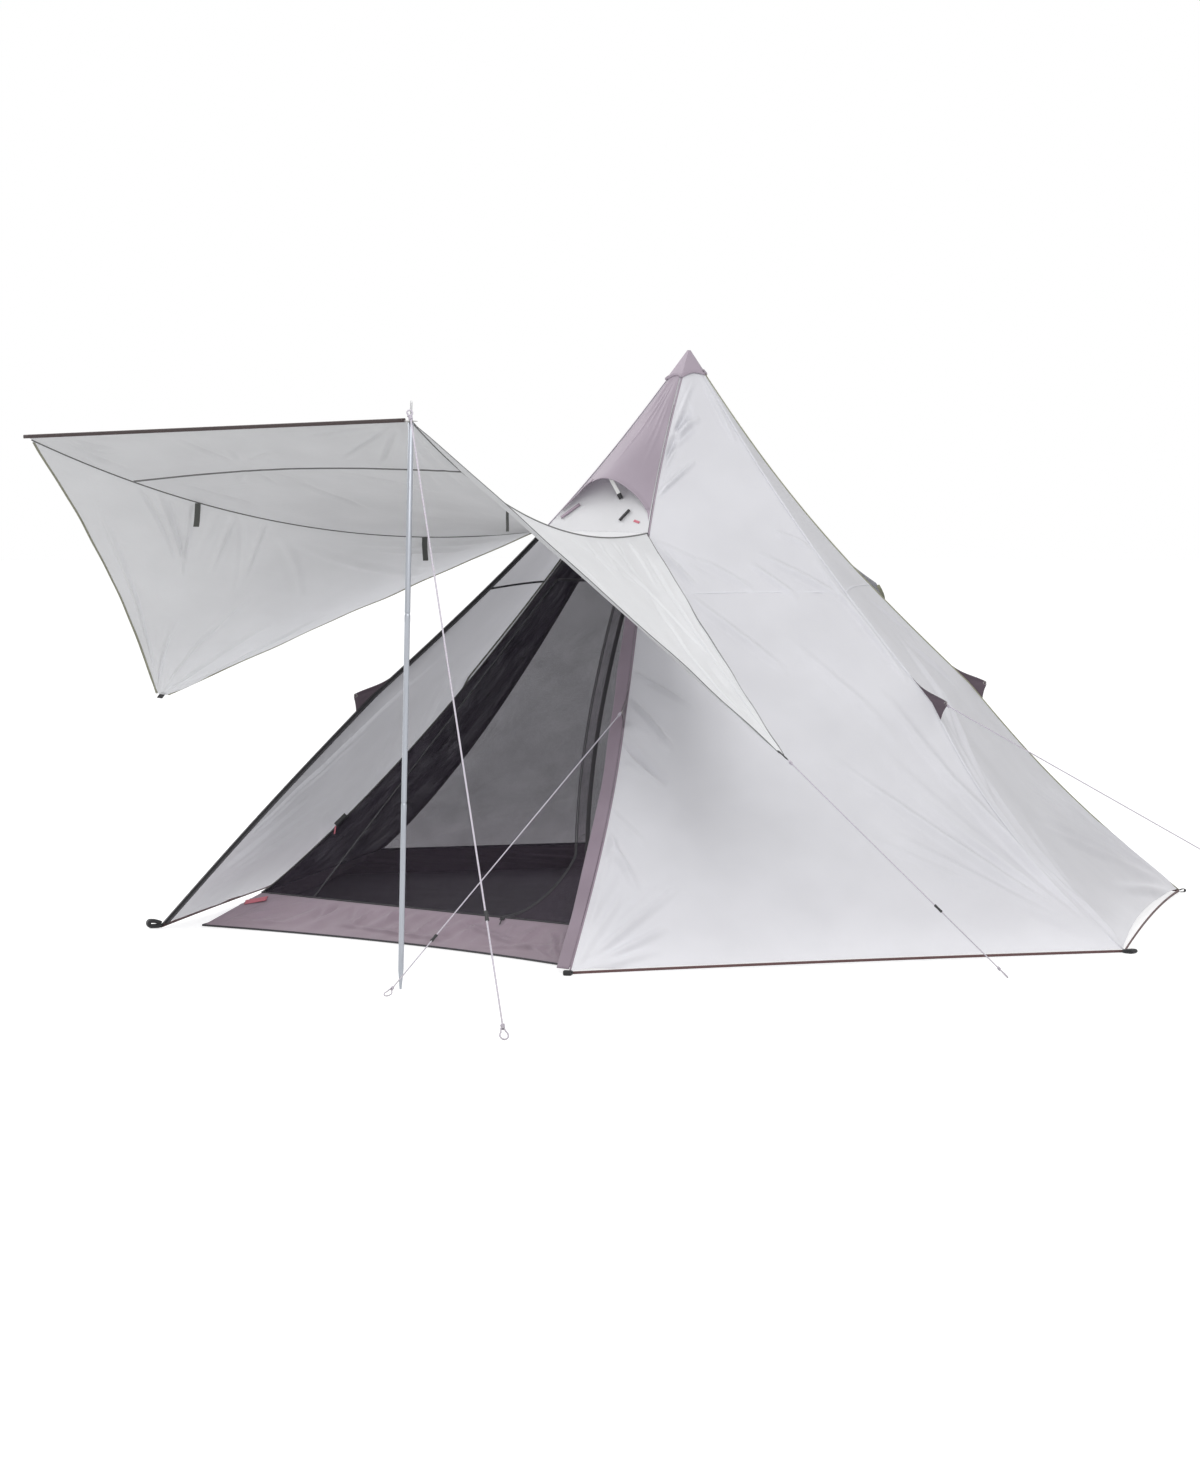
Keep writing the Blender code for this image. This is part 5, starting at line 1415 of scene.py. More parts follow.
    def door_edges(self) -> None:
        """Storm flap down the door's right side and zip tape down its left, with loose folds."""
        for name, node, index, toward, width, finish, slot in (
            ("flap_cloth", "storm_flap", 1, 0, 0.060, Finish.FLAP, "mauve_cloth"),
            ("door_zip", "door_zip_tape", 0, 1, 0.020, Finish.SEAM, "black_webbing"),
        ):
            share, way = shares_of(16, 160)
            height = mix_number(self.flap_foot, self.flap_head, way)
            edge = SHAPE.ridge(index, height)
            along = unit(SHAPE.ridge(toward, height) - edge)
            points = edge + along * (SHAPE.inset() + width * share)[..., None]
            if not toward:
                points = points[:, ::-1]
                share = share[:, ::-1]
            wave = np.sin(height * 19.0 + 1.3 * np.sin(height * 7.0))
            rise = (0.0 if toward else 0.0035) * wave * smooth(share)
            rise = rise * smooth(way * 8.0) * smooth((1.0 - way) * 8.0)
            cloth_piece(name, points, rise, finish, slot, node, wall=CLOTH_WALL)

    def fins(self) -> None:
        """Triangular fins on the ridges, their edges hollowed, each with an eyelet at its tip."""
        level = SHAPE.fin_height
        loop = np.arange(24) * (math.tau / 24)
        for corner in Corner:
            index = corner.value
            ray = SHAPE.ray(index)
            side = np.cross(UP, ray)
            tip = SHAPE.ridge(index, level) + ray * self.fin_standoff
            share, way = shares_of(24, 30)
            height = level - self.fin_below + (self.fin_above + self.fin_below) * way
            root = SHAPE.ridge(index, height) + ray * self.fin_root
            end = tip + ((way - 0.5) * self.fin_tip)[..., None] * UP
            points = mix(root, end, share)
            points[..., 2] += (level - points[..., 2]) * 0.9 * share * (1.0 - share)
            ripple = 0.0015 * np.sin(share * math.pi) * np.sin(way * 9.0 + index)
            points = points + side * ripple[..., None]
            name = corner.name.lower()
            node = "guy_fin_" + name
            form = {"wall": CLOTH_WALL * 2, "offset": 0.0}
            cloth_piece("fin_cloth_" + name, points, None, Finish.FIN, "fin_cloth", node, **form)
            around = np.cos(loop)[:, None] * ray + np.sin(loop)[:, None] * UP
            ring = tip - ray * self.ring_inset + around * self.ring_radius
            profile = round_profile(self.ring_wire, 8)
            eyelet = swept_object("fin_ring_" + name, ring, side, profile, loop=True)
            settle(eyelet, Finish.BRASS)

    def build(self) -> None:
        """Build the whole fly."""
        self.panels()
        self.seams()
        self.level_seams()
        self.hem()
        self.cap()
        self.vent()
        self.rear_vent()
        self.door_edges()
        self.fins()


FRONT_RIGHT_FOLDS = [
    *puckers(((-0.11, 1.95), (-0.27, 1.62)), 36.0, (0.14, 0.26), 8, 0.016, 0.0217, 11),
    *fan((-0.33, 1.50), (-50.0, -26.0), (0.20, 0.42), 3, 0.018, 0.0174, 12),
    *puckers(((-0.52, 1.09), (-0.88, 0.36)), -50.0, (0.12, 0.26), 8, 0.018, 0.0209, 13),
    Fold((-0.15, 1.42), (0.05, 1.30), 0.019, 0.0165),
    Fold((0.06, 1.40), (0.22, 1.27), 0.018, 0.0165),
    Fold((0.10, 1.44), (0.44, 1.25), 0.019, 0.0186),
    Fold((0.20, 1.52), (0.35, 1.45), 0.016, 0.0144),
    Fold((-0.25, 1.30), (0.08, 1.00), 0.022, 0.0186),
    Fold((0.42, 1.28), (0.56, 0.96), 0.019, 0.0165),
    Fold((0.34, 1.42), (0.52, 1.04), 0.022, 0.0144),
    Fold((0.12, 1.12), (0.46, 0.75), 0.027, 0.0125),
    Fold((0.04, 2.14), (0.13, 1.86), 0.016, 0.0144),
]
BACK_RIGHT_FOLDS = [
    Fold((-0.86, 0.30), (-1.01, 0.02), 0.019, 0.0186),
    Fold((-0.64, 0.52), (-0.03, 0.97), 0.024, 0.0186),
    Fold((-0.50, 0.72), (0.10, 1.10), 0.022, 0.0165),
    Fold((0.12, 1.08), (0.32, 0.87), 0.019, 0.0165),
    Fold((0.12, 1.25), (0.34, 1.06), 0.016, 0.0144),
]


# The awning

@dataclass(frozen=True)
class AwningShape:
    """Form of the awning: a roof between two sagging seams, and a wing hanging from each."""

    front_left: Point = (-1.004, -2.574, 1.894)
    front_right: Point = (1.004, -2.574, 1.962)
    wing_left: Point = (-1.643, -1.339, 0.834)
    wing_right: Point = (1.643, -1.339, 0.761)
    sag: float = 0.150
    crown: float = 0.045
    front_bow: float = 0.055
    rear_bow: float = 0.010
    belly: Pair = (0.035, 0.006)
    wing_cut: float = 0.034
    pole_inset: float = 0.018
    end_clearance: float = 0.026
    seam_gap: float = 0.0036
    wing_gap: float = 0.0039

    def rear(self, side: int) -> Array:
        """Rear corner, on the ridge at the top of the door, left (-1) or right (1)."""
        return SHAPE.ridge(0 if side < 0 else 1, np.array(SHAPE.door_top))

    def front(self, side: int) -> Array:
        """Front corner of the cloth, which stops short of the pole on the right."""
        if side < 0:
            return np.array(self.front_left)
        corner = np.array(self.front_right)
        inward = (self.rear(1) - corner) + (np.array(self.front_left) - corner)
        inward[2] = 0.0
        return corner + unit(inward) * self.pole_inset

    def seam(self, side: int, share: Array) -> Array:
        """Points on a seam: the line from its rear corner to its front one, less a parabola."""
        share = np.asarray(share, float)
        return mix(self.rear(side), self.front(side), share) - (self.sag * arch(share))[..., None] * UP

    def length(self, side: int) -> float:
        """Straight distance between the ends of a seam."""
        return float(np.linalg.norm(self.front(side) - self.rear(side)))

    def ends(self, side: int) -> Pair:
        """Shares of the seam where its piping and the wing start and stop."""
        share = self.end_clearance / self.length(side)
        return share, 1.0 - share

    def roof(self, across: Array, along: Array) -> Array:
        """Points on the roof: between the two seams, raised by sin(pi across) times a parabola."""
        left, right = self.seam(-1, along), self.seam(1, along)
        way = unit(right - left)
        inset = self.seam_gap + 0.006 * np.clip(1.0 - along / 0.05, 0.0, 1.0)
        points = mix(left + way * inset[..., None], right - way * inset[..., None], across)
        return points + (self.crown * np.sin(math.pi * across) * arch(along))[..., None] * UP

    def corner(self, side: int) -> Array:
        """Hanging corner of a wing."""
        return np.array(self.wing_left if side < 0 else self.wing_right)

    def direction(self, side: int) -> Array:
        """Direction from the middle of a wing's seam to its hanging corner."""
        return unit(self.corner(side) - self.seam(side, 0.5))

    def wing(self, side: int, along: Array, down: Array) -> Array:
        """Points on a wing: straight lines from the seam to its corner, bellied and cut in.

        The belly is sin(pi down) sin(pi along) outwards and down; each free edge is cut in by
        sin(pi down) times the cube of the way along the seam towards it.

        Args:
            side: Left (-1) or right (1).
            along: Shares of the seam, from rear to front.
            down: Shares of the way from the seam to the cut tip.

        Returns:
            A point for each pair.
        """
        corner = self.corner(side)
        top = self.seam(side, along)
        reach = corner - top
        length = np.linalg.norm(reach, axis=-1)
        inward = unit(self.rear(side) - self.front(side))
        squareness = np.linalg.norm(np.cross(reach, inward), axis=-1) / length
        low = self.wing_gap / squareness / length
        high = 1.0 - self.wing_cut / (reach @ self.direction(side))
        wave = np.sin(math.pi * down)
        belly = self.belly[side > 0] * wave * np.sin(math.pi * along)
        out = np.array([side * 0.5, 0.0, -1.0])
        bow = wave * (self.front_bow * along ** 3 - self.rear_bow * (1.0 - along) ** 3)
        return mix(top, corner, low + (high - low) * down) + bow[..., None] * inward + belly[..., None] * out


AWNING = AwningShape()


@dataclass
class Awning:
    """The raised door panel: roof, wings, seams, edges, ties and tabs."""

    columns: int = 230
    rows: int = 190
    cross_seam: float = 0.80
    rear_gap: float = 0.0006
    front_gap: float = 0.0046
    tie_length: float = 0.090
    tie_width: float = 0.016
    tab_length: float = 0.030

    def roof(self) -> None:
        """Roof with its cross seam, and folds that run from the corners."""
        length = AWNING.length(-1)
        low, high = self.rear_gap / length, 1.0 - self.front_gap / length
        across, along = np.meshgrid(np.linspace(1.0, 0.0, self.columns), np.linspace(low, high, self.rows))
        points = AWNING.roof(across, along)
        x = (across - 0.5) * (0.6 + 1.4 * along)
        y = along * length
        rise = folded(x, y, ROOF_FOLDS) + crumple(x, y, 0.0030, 0.30, 41)
        edge = np.minimum(across, 1.0 - across) * 2.0
        rise = rise * smooth(edge / 0.06) * smooth((1.0 - along) / 0.03) * smooth(along / 0.04)
        rise = rise * (1.0 - 0.92 * np.exp(-(((along - self.cross_seam) / 0.035) ** 2)))
        final = cloth_piece(
            "awning_roof_cloth", points, rise, Finish.AWNING, "fly_cloth", "awning_roof",
            ("awning_seam_left", "awning_seam_right")
        )
        row = int(np.argmin(np.abs(along[:, 0] - self.cross_seam)))
        down = unit(points[row + 1, 60] - points[row - 1, 60])
        path = final[row, ::2] - UP * 0.0006
        band("roof_cross_seam", path, down, (0.012, 0.0026), Finish.PIPING)

    def wings(self) -> None:
        """Two wings with their bound free edges and corner tabs, and the right one's toggle."""
        for side, name, folds in ((-1, "left", WING_LEFT_FOLDS), (1, "right", WING_RIGHT_FOLDS)):
            start, stop = AWNING.ends(side)
            along, down = np.meshgrid(np.linspace(start, stop, 230), np.linspace(0.0, 1.0, 160))
            if side > 0:
                along = along[:, ::-1]
            points = AWNING.wing(side, along, down)
            x, y = along * AWNING.length(side), down * 1.2
            rise = folded(x, y, folds) + crumple(x, y, 0.0022, 0.26, 43 + side)
            rise = rise * smooth(down / 0.04) * smooth((1.0 - down) / 0.05)
            final = cloth_piece(
                "awning_wing_cloth_" + name, points, rise, Finish.AWNING if side > 0 else Finish.WING,
                "fly_cloth", "awning_wing_" + name, ("awning_seam_" + name,)
            )
            thin = side > 0
            finish, size = (Finish.PIPING, (0.0035, 0.0026)) if thin else (Finish.EDGE, (0.009, 0.0032))
            rows = final[:, ::-1] if thin else final
            for label, line, inner in (("rear", rows[:, 0], rows[:, 1]), ("front", rows[:, -1], rows[:, -2])):
                across = unit(inner - line)
                path = (line + across * 0.002)[1:]
                band(f"wing_edging_{name}_{label}", path, across[1:], size, finish)
            tip = (points[-1, 0] + points[-1, -1]) / 2
            across = unit(points[-1, -1] - points[-1, 0])
            path = tip + np.linspace(-0.016, self.tab_length, 14)[:, None] * AWNING.direction(side)
            size, node = (0.024, 0.0026), "awning_tab_" + name
            band("corner_tab_" + name, path, across, size, Finish.BLACK, node=node)
        self.toggle()

    def toggle(self) -> None:
        """Toggle on the right wing, just below its seam."""
        high, low = AWNING.wing(1, np.array([0.27, 0.30]), np.array([0.0, 0.035]))
        out = unit(np.cross(AWNING.front(1) - AWNING.rear(1), AWNING.corner(1) - AWNING.rear(1))) * 0.004
        across = np.cross(low - high, out)
        patch("wing_toggle", high - out, low - out, across, (0.011, 0.006), Finish.BLACK, "fly_cloth")

    def edges(self) -> None:
        """Binding of the front edge, and the piping of the two seams."""
        left, right = AWNING.front(-1), AWNING.front(1)
        along = unit(right - left)
        share = np.linspace(0.0, 1.0, 60)
        path = mix(left - along * 0.006, right - along * AWNING.end_clearance, share)
        size = (0.014, 0.0080, 14, 3.0)
        band("front_binding", path, UP, size, Finish.FRONT, node="awning_front_binding")
        for side, name in ((-1, "left"), (1, "right")):
            path = AWNING.seam(side, np.linspace(*AWNING.ends(side), 90))
            size, node = (0.007, 0.006, 12, 3.0), "awning_seam_" + name
            band("awning_piping_" + name, path, UP, size, Finish.PIPING, node=node)

    def ties(self) -> None:
        """Four webbing ties, each hanging from its sewn end with a slight curl."""
        way = np.linspace(0.0, self.tie_length - 0.001, 26)
        for name, (share, curve) in TIES.items():
            side = -1 if name.startswith("left") else 1
            reach = self.tie_width / AWNING.length(side) / 2
            along = unit(AWNING.seam(side, share + reach) - AWNING.seam(side, share - reach))
            square = unit(along * float(UP @ along) - UP)
            start = AWNING.seam(side, share) + square * AWNING.seam_gap
            curl = 0.0015 * np.sin(way * 52.0) + curve * (way / self.tie_length) ** 2
            path = start - way[:, None] * UP + curl[:, None] * unit(np.cross(along, UP))
            node = "door_tie_" + name
            band("tie_" + name, path, along, (0.023, 0.0022), Finish.TIE, node, node)

    def build(self) -> None:
        """Build the whole awning."""
        self.roof()
        self.wings()
        self.edges()
        self.ties()


TIES = {
    "left_front": (0.68, 0.020),
    "left_rear": (0.24, -0.006),
    "right_front": (0.62, 0.003),
    "right_rear": (0.19, 0.003),
}
ROOF_FOLDS = [
    *fan((-0.19, 1.83), (-140.0, 100.0), (0.16, 0.34), 7, 0.018, 0.0115, 51),
    *fan((-0.88, 2.20), (-95.0, -8.0), (0.25, 0.50), 5, 0.021, 0.0103, 52),
    *fan((0.95, 2.20), (-165.0, -110.0), (0.40, 0.75), 5, 0.019, 0.0103, 53),
    Fold((-0.11, 1.61), (-0.18, 1.15), 0.026, 0.0089),
    Fold((0.20, 1.72), (0.50, 1.49), 0.023, 0.0089),
    Fold((-0.67, 1.71), (-0.56, 1.38), 0.021, 0.0089),
]
WING_LEFT_FOLDS = [
    *puckers(((1.75, 0.03), (1.20, 0.03)), 100.0, (0.25, 0.45), 9, 0.017, 0.0113, 54),
    Fold((0.13, 0.05), (0.85, 0.05), 0.018, 0.0115),
    Fold((0.20, 0.11), (0.66, 0.09), 0.016, 0.0097),
    Fold((0.16, 0.30), (1.03, 0.10), 0.021, 0.0097),
    Fold((1.12, 0.07), (0.73, 0.41), 0.021, 0.0089),
    Fold((1.05, 0.43), (1.29, 1.10), 0.026, 0.0115),
    Fold((1.50, 0.66), (1.76, 1.16), 0.034, 0.0115),
    Fold((2.00, 0.17), (1.90, 1.10), 0.034, 0.0115),
    Fold((0.70, 0.60), (0.92, 1.16), 0.039, 0.0115),
    Fold((0.30, 0.55), (0.35, 1.10), 0.034, 0.0089),
]
WING_RIGHT_FOLDS = [
    Fold((0.16, 0.06), (0.30, 1.18), 0.029, 0.0140),
    Fold((0.57, 0.04), (0.30, 0.66), 0.023, 0.0097),
    Fold((0.89, 0.02), (0.48, 0.28), 0.018, 0.0089),
    Fold((0.46, 0.32), (0.95, 1.14), 0.029, 0.0103),
    Fold((0.02, 0.30), (0.10, 1.12), 0.021, 0.0103),
    Fold((1.10, 0.05), (1.40, 1.10), 0.034, 0.0089),
    *puckers(((0.15, 0.03), (0.75, 0.03)), 70.0, (0.14, 0.30), 5, 0.016, 0.0095, 55),
]


# The poles

@dataclass
class Poles:
    """Awning pole with its spike and eyelet, and the centre pole with its foot and head."""

    foot: Point = (0.921, -2.550, 0.0)
    radius: float = 0.0095
    spike_share: float = 0.42
    centre_radius: float = 0.014
    eyelet_bore: float = 0.0046
    button: tuple[Pair, ...] = (
        (0.0, 0.0), (0.0030, 0.0), (0.0030, 0.0012), (0.0016, 0.0022), (0.0, 0.0024)
    )
    spike: tuple[Pair, ...] = (
        (0.0, 0.0), (0.0040, 0.0), (0.0040, 0.86), (0.0034, 0.93), (0.0020, 1.0), (0.0, 1.0)
    )

    def tube_profile(self, radius: float, length: float, neck: bool, foot: bool) -> Array:
        """Outline of a section: rounded rims, a swaged neck at its top and a tapered foot below.

        Args:
            radius: The tube's radius.
            length: Its length.
            neck: Whether its top is swaged to take the next section.
            foot: Whether its lower end tapers to stand on the ground.

        Returns:
            Pairs of radius and height, from the foot up.
        """
        low = [(0.0, 0.0), (radius - 0.0008, 0.0), (radius, 0.0008)]
        high = [(radius, length - 0.0012), (radius - 0.0010, length), (0.0, length)]
        if foot:
            low = [
                (0.0, 0.0016), (radius * 0.3, 0.0018), (radius * 0.42, 0.004), (radius * 0.99, 0.070),
                (radius, 0.076),
            ]
        if neck:
            swage, rim = radius + 0.0004, radius - 0.0012
            high = [
                (radius, length - 0.0320), (swage, length - 0.0310), (swage, length - 0.0080),
                (radius, length - 0.0068), (rim, length - 0.0050), (rim, length), (0.0, length),
            ]
        return np.array(low + high)

    def awning_pole(self) -> None:
        """Three sections between the ground and the eyelet, then the spike through it."""
        foot = np.array(self.foot)
        axis = unit(np.array(AWNING.front_right) - foot)
        names = ("lower", "middle", "upper")
        for name in names:
            low, high = self.along("awning_pole_" + name, foot, axis)
            jointed = name != names[-1]
            profile = self.tube_profile(self.radius, high - low, jointed, name == names[0])
            item = turned_object("pole_tube_" + name, profile, foot + axis * low, axis)
            settle(item, Finish.TUBE, node="awning_pole_" + name)
            if jointed:
                side = unit(np.cross(axis, UP + [0.2, 0.1, 0.0]))
                place = foot + axis * (high - 0.020) + side * 0.0092
                button = turned_object("pole_button_" + name, np.array(self.button), place, side, 16)
                settle(button, Finish.STEEL)
        low, high = self.along("awning_pole_spike", foot, axis)
        spike = np.array(self.spike) * [1.0, high - low]
        item = turned_object("pole_spike", spike, foot + axis * low, axis, 24)
        settle(item, Finish.STEEL, node="awning_pole_spike")
        self.eyelet(axis)

    def along(self, node: str, base: Array, axis: Array) -> Pair:
        """Where a node starts and ends along a leaning axis, from its box less the tube's tilted rim."""
        low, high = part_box(node)
        lean = self.radius * math.sqrt(max(0.0, 1.0 - float(axis[2]) ** 2))
        lean = lean * self.spike_share if "spike" in node else lean
        start = (low[2] + (0.0 if low[2] < 0.001 else lean) - base[2]) / axis[2]
        return float(start), float((high[2] - lean - base[2]) / axis[2])

    def eyelet(self, axis: Array) -> None:
        """Rolled eyelet round the spike."""
        low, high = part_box("awning_grommet")
        outer = float(high[0] - low[0]) / 2 - 0.0004
        turn = np.linspace(0.0, math.tau, 14)
        middle_radius, half = (outer + self.eyelet_bore) / 2, (outer - self.eyelet_bore) / 2
        ring = np.stack([middle_radius + np.cos(turn) * half, np.sin(turn) * 0.0013], axis=-1)
        item = turned_object("corner_eyelet", ring, middle_of("awning_grommet"), axis, 40)
        settle(item, Finish.BRASS, node="awning_grommet")

    def centre_pole(self) -> None:
        """Two sections, a plastic foot on the groundsheet and a rounded head under the cap."""
        radius = self.centre_radius
        for name in ("lower", "upper"):
            low, high = self.levels(name)
            profile = self.tube_profile(radius, high - low, name == "lower", False)
            item = turned_object("centre_tube_" + name, profile, UP * low, UP)
            settle(item, Finish.TUBE, node="centre_pole_" + name)
        low, high = self.levels("foot")
        tall = high - low
        foot = np.array([
            (0.0, 0.0), (0.030, 0.0), (0.032, 0.0015), (0.032, 0.0060), (0.029, 0.0082), (0.020, 0.0115),
            (0.0170, 0.0150), (0.0168, tall - 0.001), (0.0160, tall), (0.0, tall),
        ])
        item = turned_object("centre_foot", foot, UP * low, UP, 40)
        settle(item, Finish.PLASTIC, node="centre_pole_foot")
        low, high = self.levels("top")
        tall = high - low
        turn = np.linspace(0.0, math.pi / 2, 9)
        dome = np.stack([radius * (0.33 + 0.67 * np.cos(turn)), tall * (0.33 + 0.67 * np.sin(turn))], axis=-1)
        profile = np.concatenate([[(0.0, 0.0), (radius, 0.0)], dome, [(0.0, tall)]])
        item = turned_object("centre_head", profile, UP * low, UP)
        settle(item, Finish.PLASTIC, node="centre_pole_top")

    def levels(self, name: str) -> Pair:
        """Foot and head of a part of the centre pole."""
        low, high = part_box("centre_pole_" + name)
        return float(low[2]), float(high[2])

    def build(self) -> None:
        """Build both poles."""
        self.awning_pole()
        self.centre_pole()


# The inner tent

@dataclass(frozen=True)
class InnerShape:
    """Form of the inner tent: ridges that sag inwards, a flat front with curved edges, and a tub."""

    radius: float = 1.980
    apex: float = 2.100
    sag: float = 0.215
    top: float = 2.000
    tub: float = 0.125
    tub_foot: float = 0.0043
    front_bow: float = 0.152
    tub_front_bow: float = 0.100
    tub_bow: float = 0.040
    door_top: float = 1.330
    hinge_foot: float = 0.580
    hinge_head: float = 0.165
    door_margin: float = 0.055
    door_round: float = 0.230
    tape: float = 0.012

    def reach(self, height: Array) -> Array:
        """Ridge radius: a straight fall less the sag times sin(pi rise to the 0.6)."""
        rise = np.asarray(height, float) / self.apex
        return self.radius * (1.0 - rise) - self.sag * np.sin(math.pi * np.clip(rise, 0.0, 1.0) ** 0.6)

    def front_y(self, height: Array) -> Array:
        """Depth of the flat front: a straight line between its foot and its head."""
        apothem = math.cos(math.pi / SIDES)
        low, high = -self.reach(self.tub) * apothem, -self.reach(self.top) * apothem
        return low + (high - low) * (np.asarray(height) - self.tub) / (self.top - self.tub)

    def half_width(self, height: Array) -> Array:
        """Half width of the front: a straight taper less the bow times sin(pi way to the 0.75)."""
        low, high = self.reach(self.tub) / 2, self.reach(self.top) / 2
        way = np.maximum((np.asarray(height) - self.tub) / (self.top - self.tub), 0.0)
        return low + (high - low) * way - self.front_bow * np.sin(math.pi * way ** 0.75)

    def front(self, x: Array, height: Array) -> Array:
        """Points on the flat front."""
        x, height = np.broadcast_arrays(np.asarray(x, float), np.asarray(height, float))
        return np.stack([x, self.front_y(height), height], axis=-1)

    def edge(self, index: int, height: Array) -> Array:
        """Points on a ridge; the two front ridges lie in the flat front."""
        index %= SIDES
        height = np.asarray(height, float)
        if index in (0, 1):
            return self.front((-1.0 if index == 0 else 1.0) * self.half_width(height), height)
        return self.reach(height)[..., None] * SHAPE.ray(index) + height[..., None] * UP

    def tub_point(self, index: int, share: Array, way: Array) -> Array:
        """Points on the tub's wall: its foot is drawn in by a parabola, its top is straight."""
        height = self.tub_foot + (self.tub - self.tub_foot) * way
        radius = self.radius + (self.reach(self.tub) - self.radius) * way
        left = radius[..., None] * SHAPE.ray(index)
        right = radius[..., None] * SHAPE.ray(index + 1)
        bow = self.tub_front_bow if index % SIDES == 0 else self.tub_bow
        drawn = bow * arch(share) * (1.0 - way)
        return mix(left, right, share) - drawn[..., None] * SHAPE.outward(index) + height[..., None] * UP

    def hinge_x(self, height: Array) -> Array:
        """Place across the front of the door's hinge line."""
        way = (np.asarray(height) - self.tub) / (self.door_top - self.tub)
        return -self.hinge_foot + (self.hinge_foot - self.hinge_head) * way

    def zip_x(self, height: Array) -> Array:
        """Place across the front of the door's zip: beside the edge, then round a quarter circle."""
        foot = self.tub + 0.0006
        held = np.maximum(height, foot + self.door_round)
        edge = self.half_width(held) - self.door_margin
        low = np.clip((np.asarray(height) - foot) / self.door_round, 0.0, 1.0)
        return edge - self.door_round * (1.0 - np.sqrt(1.0 - (1.0 - low) ** 2))


INNER = InnerShape()


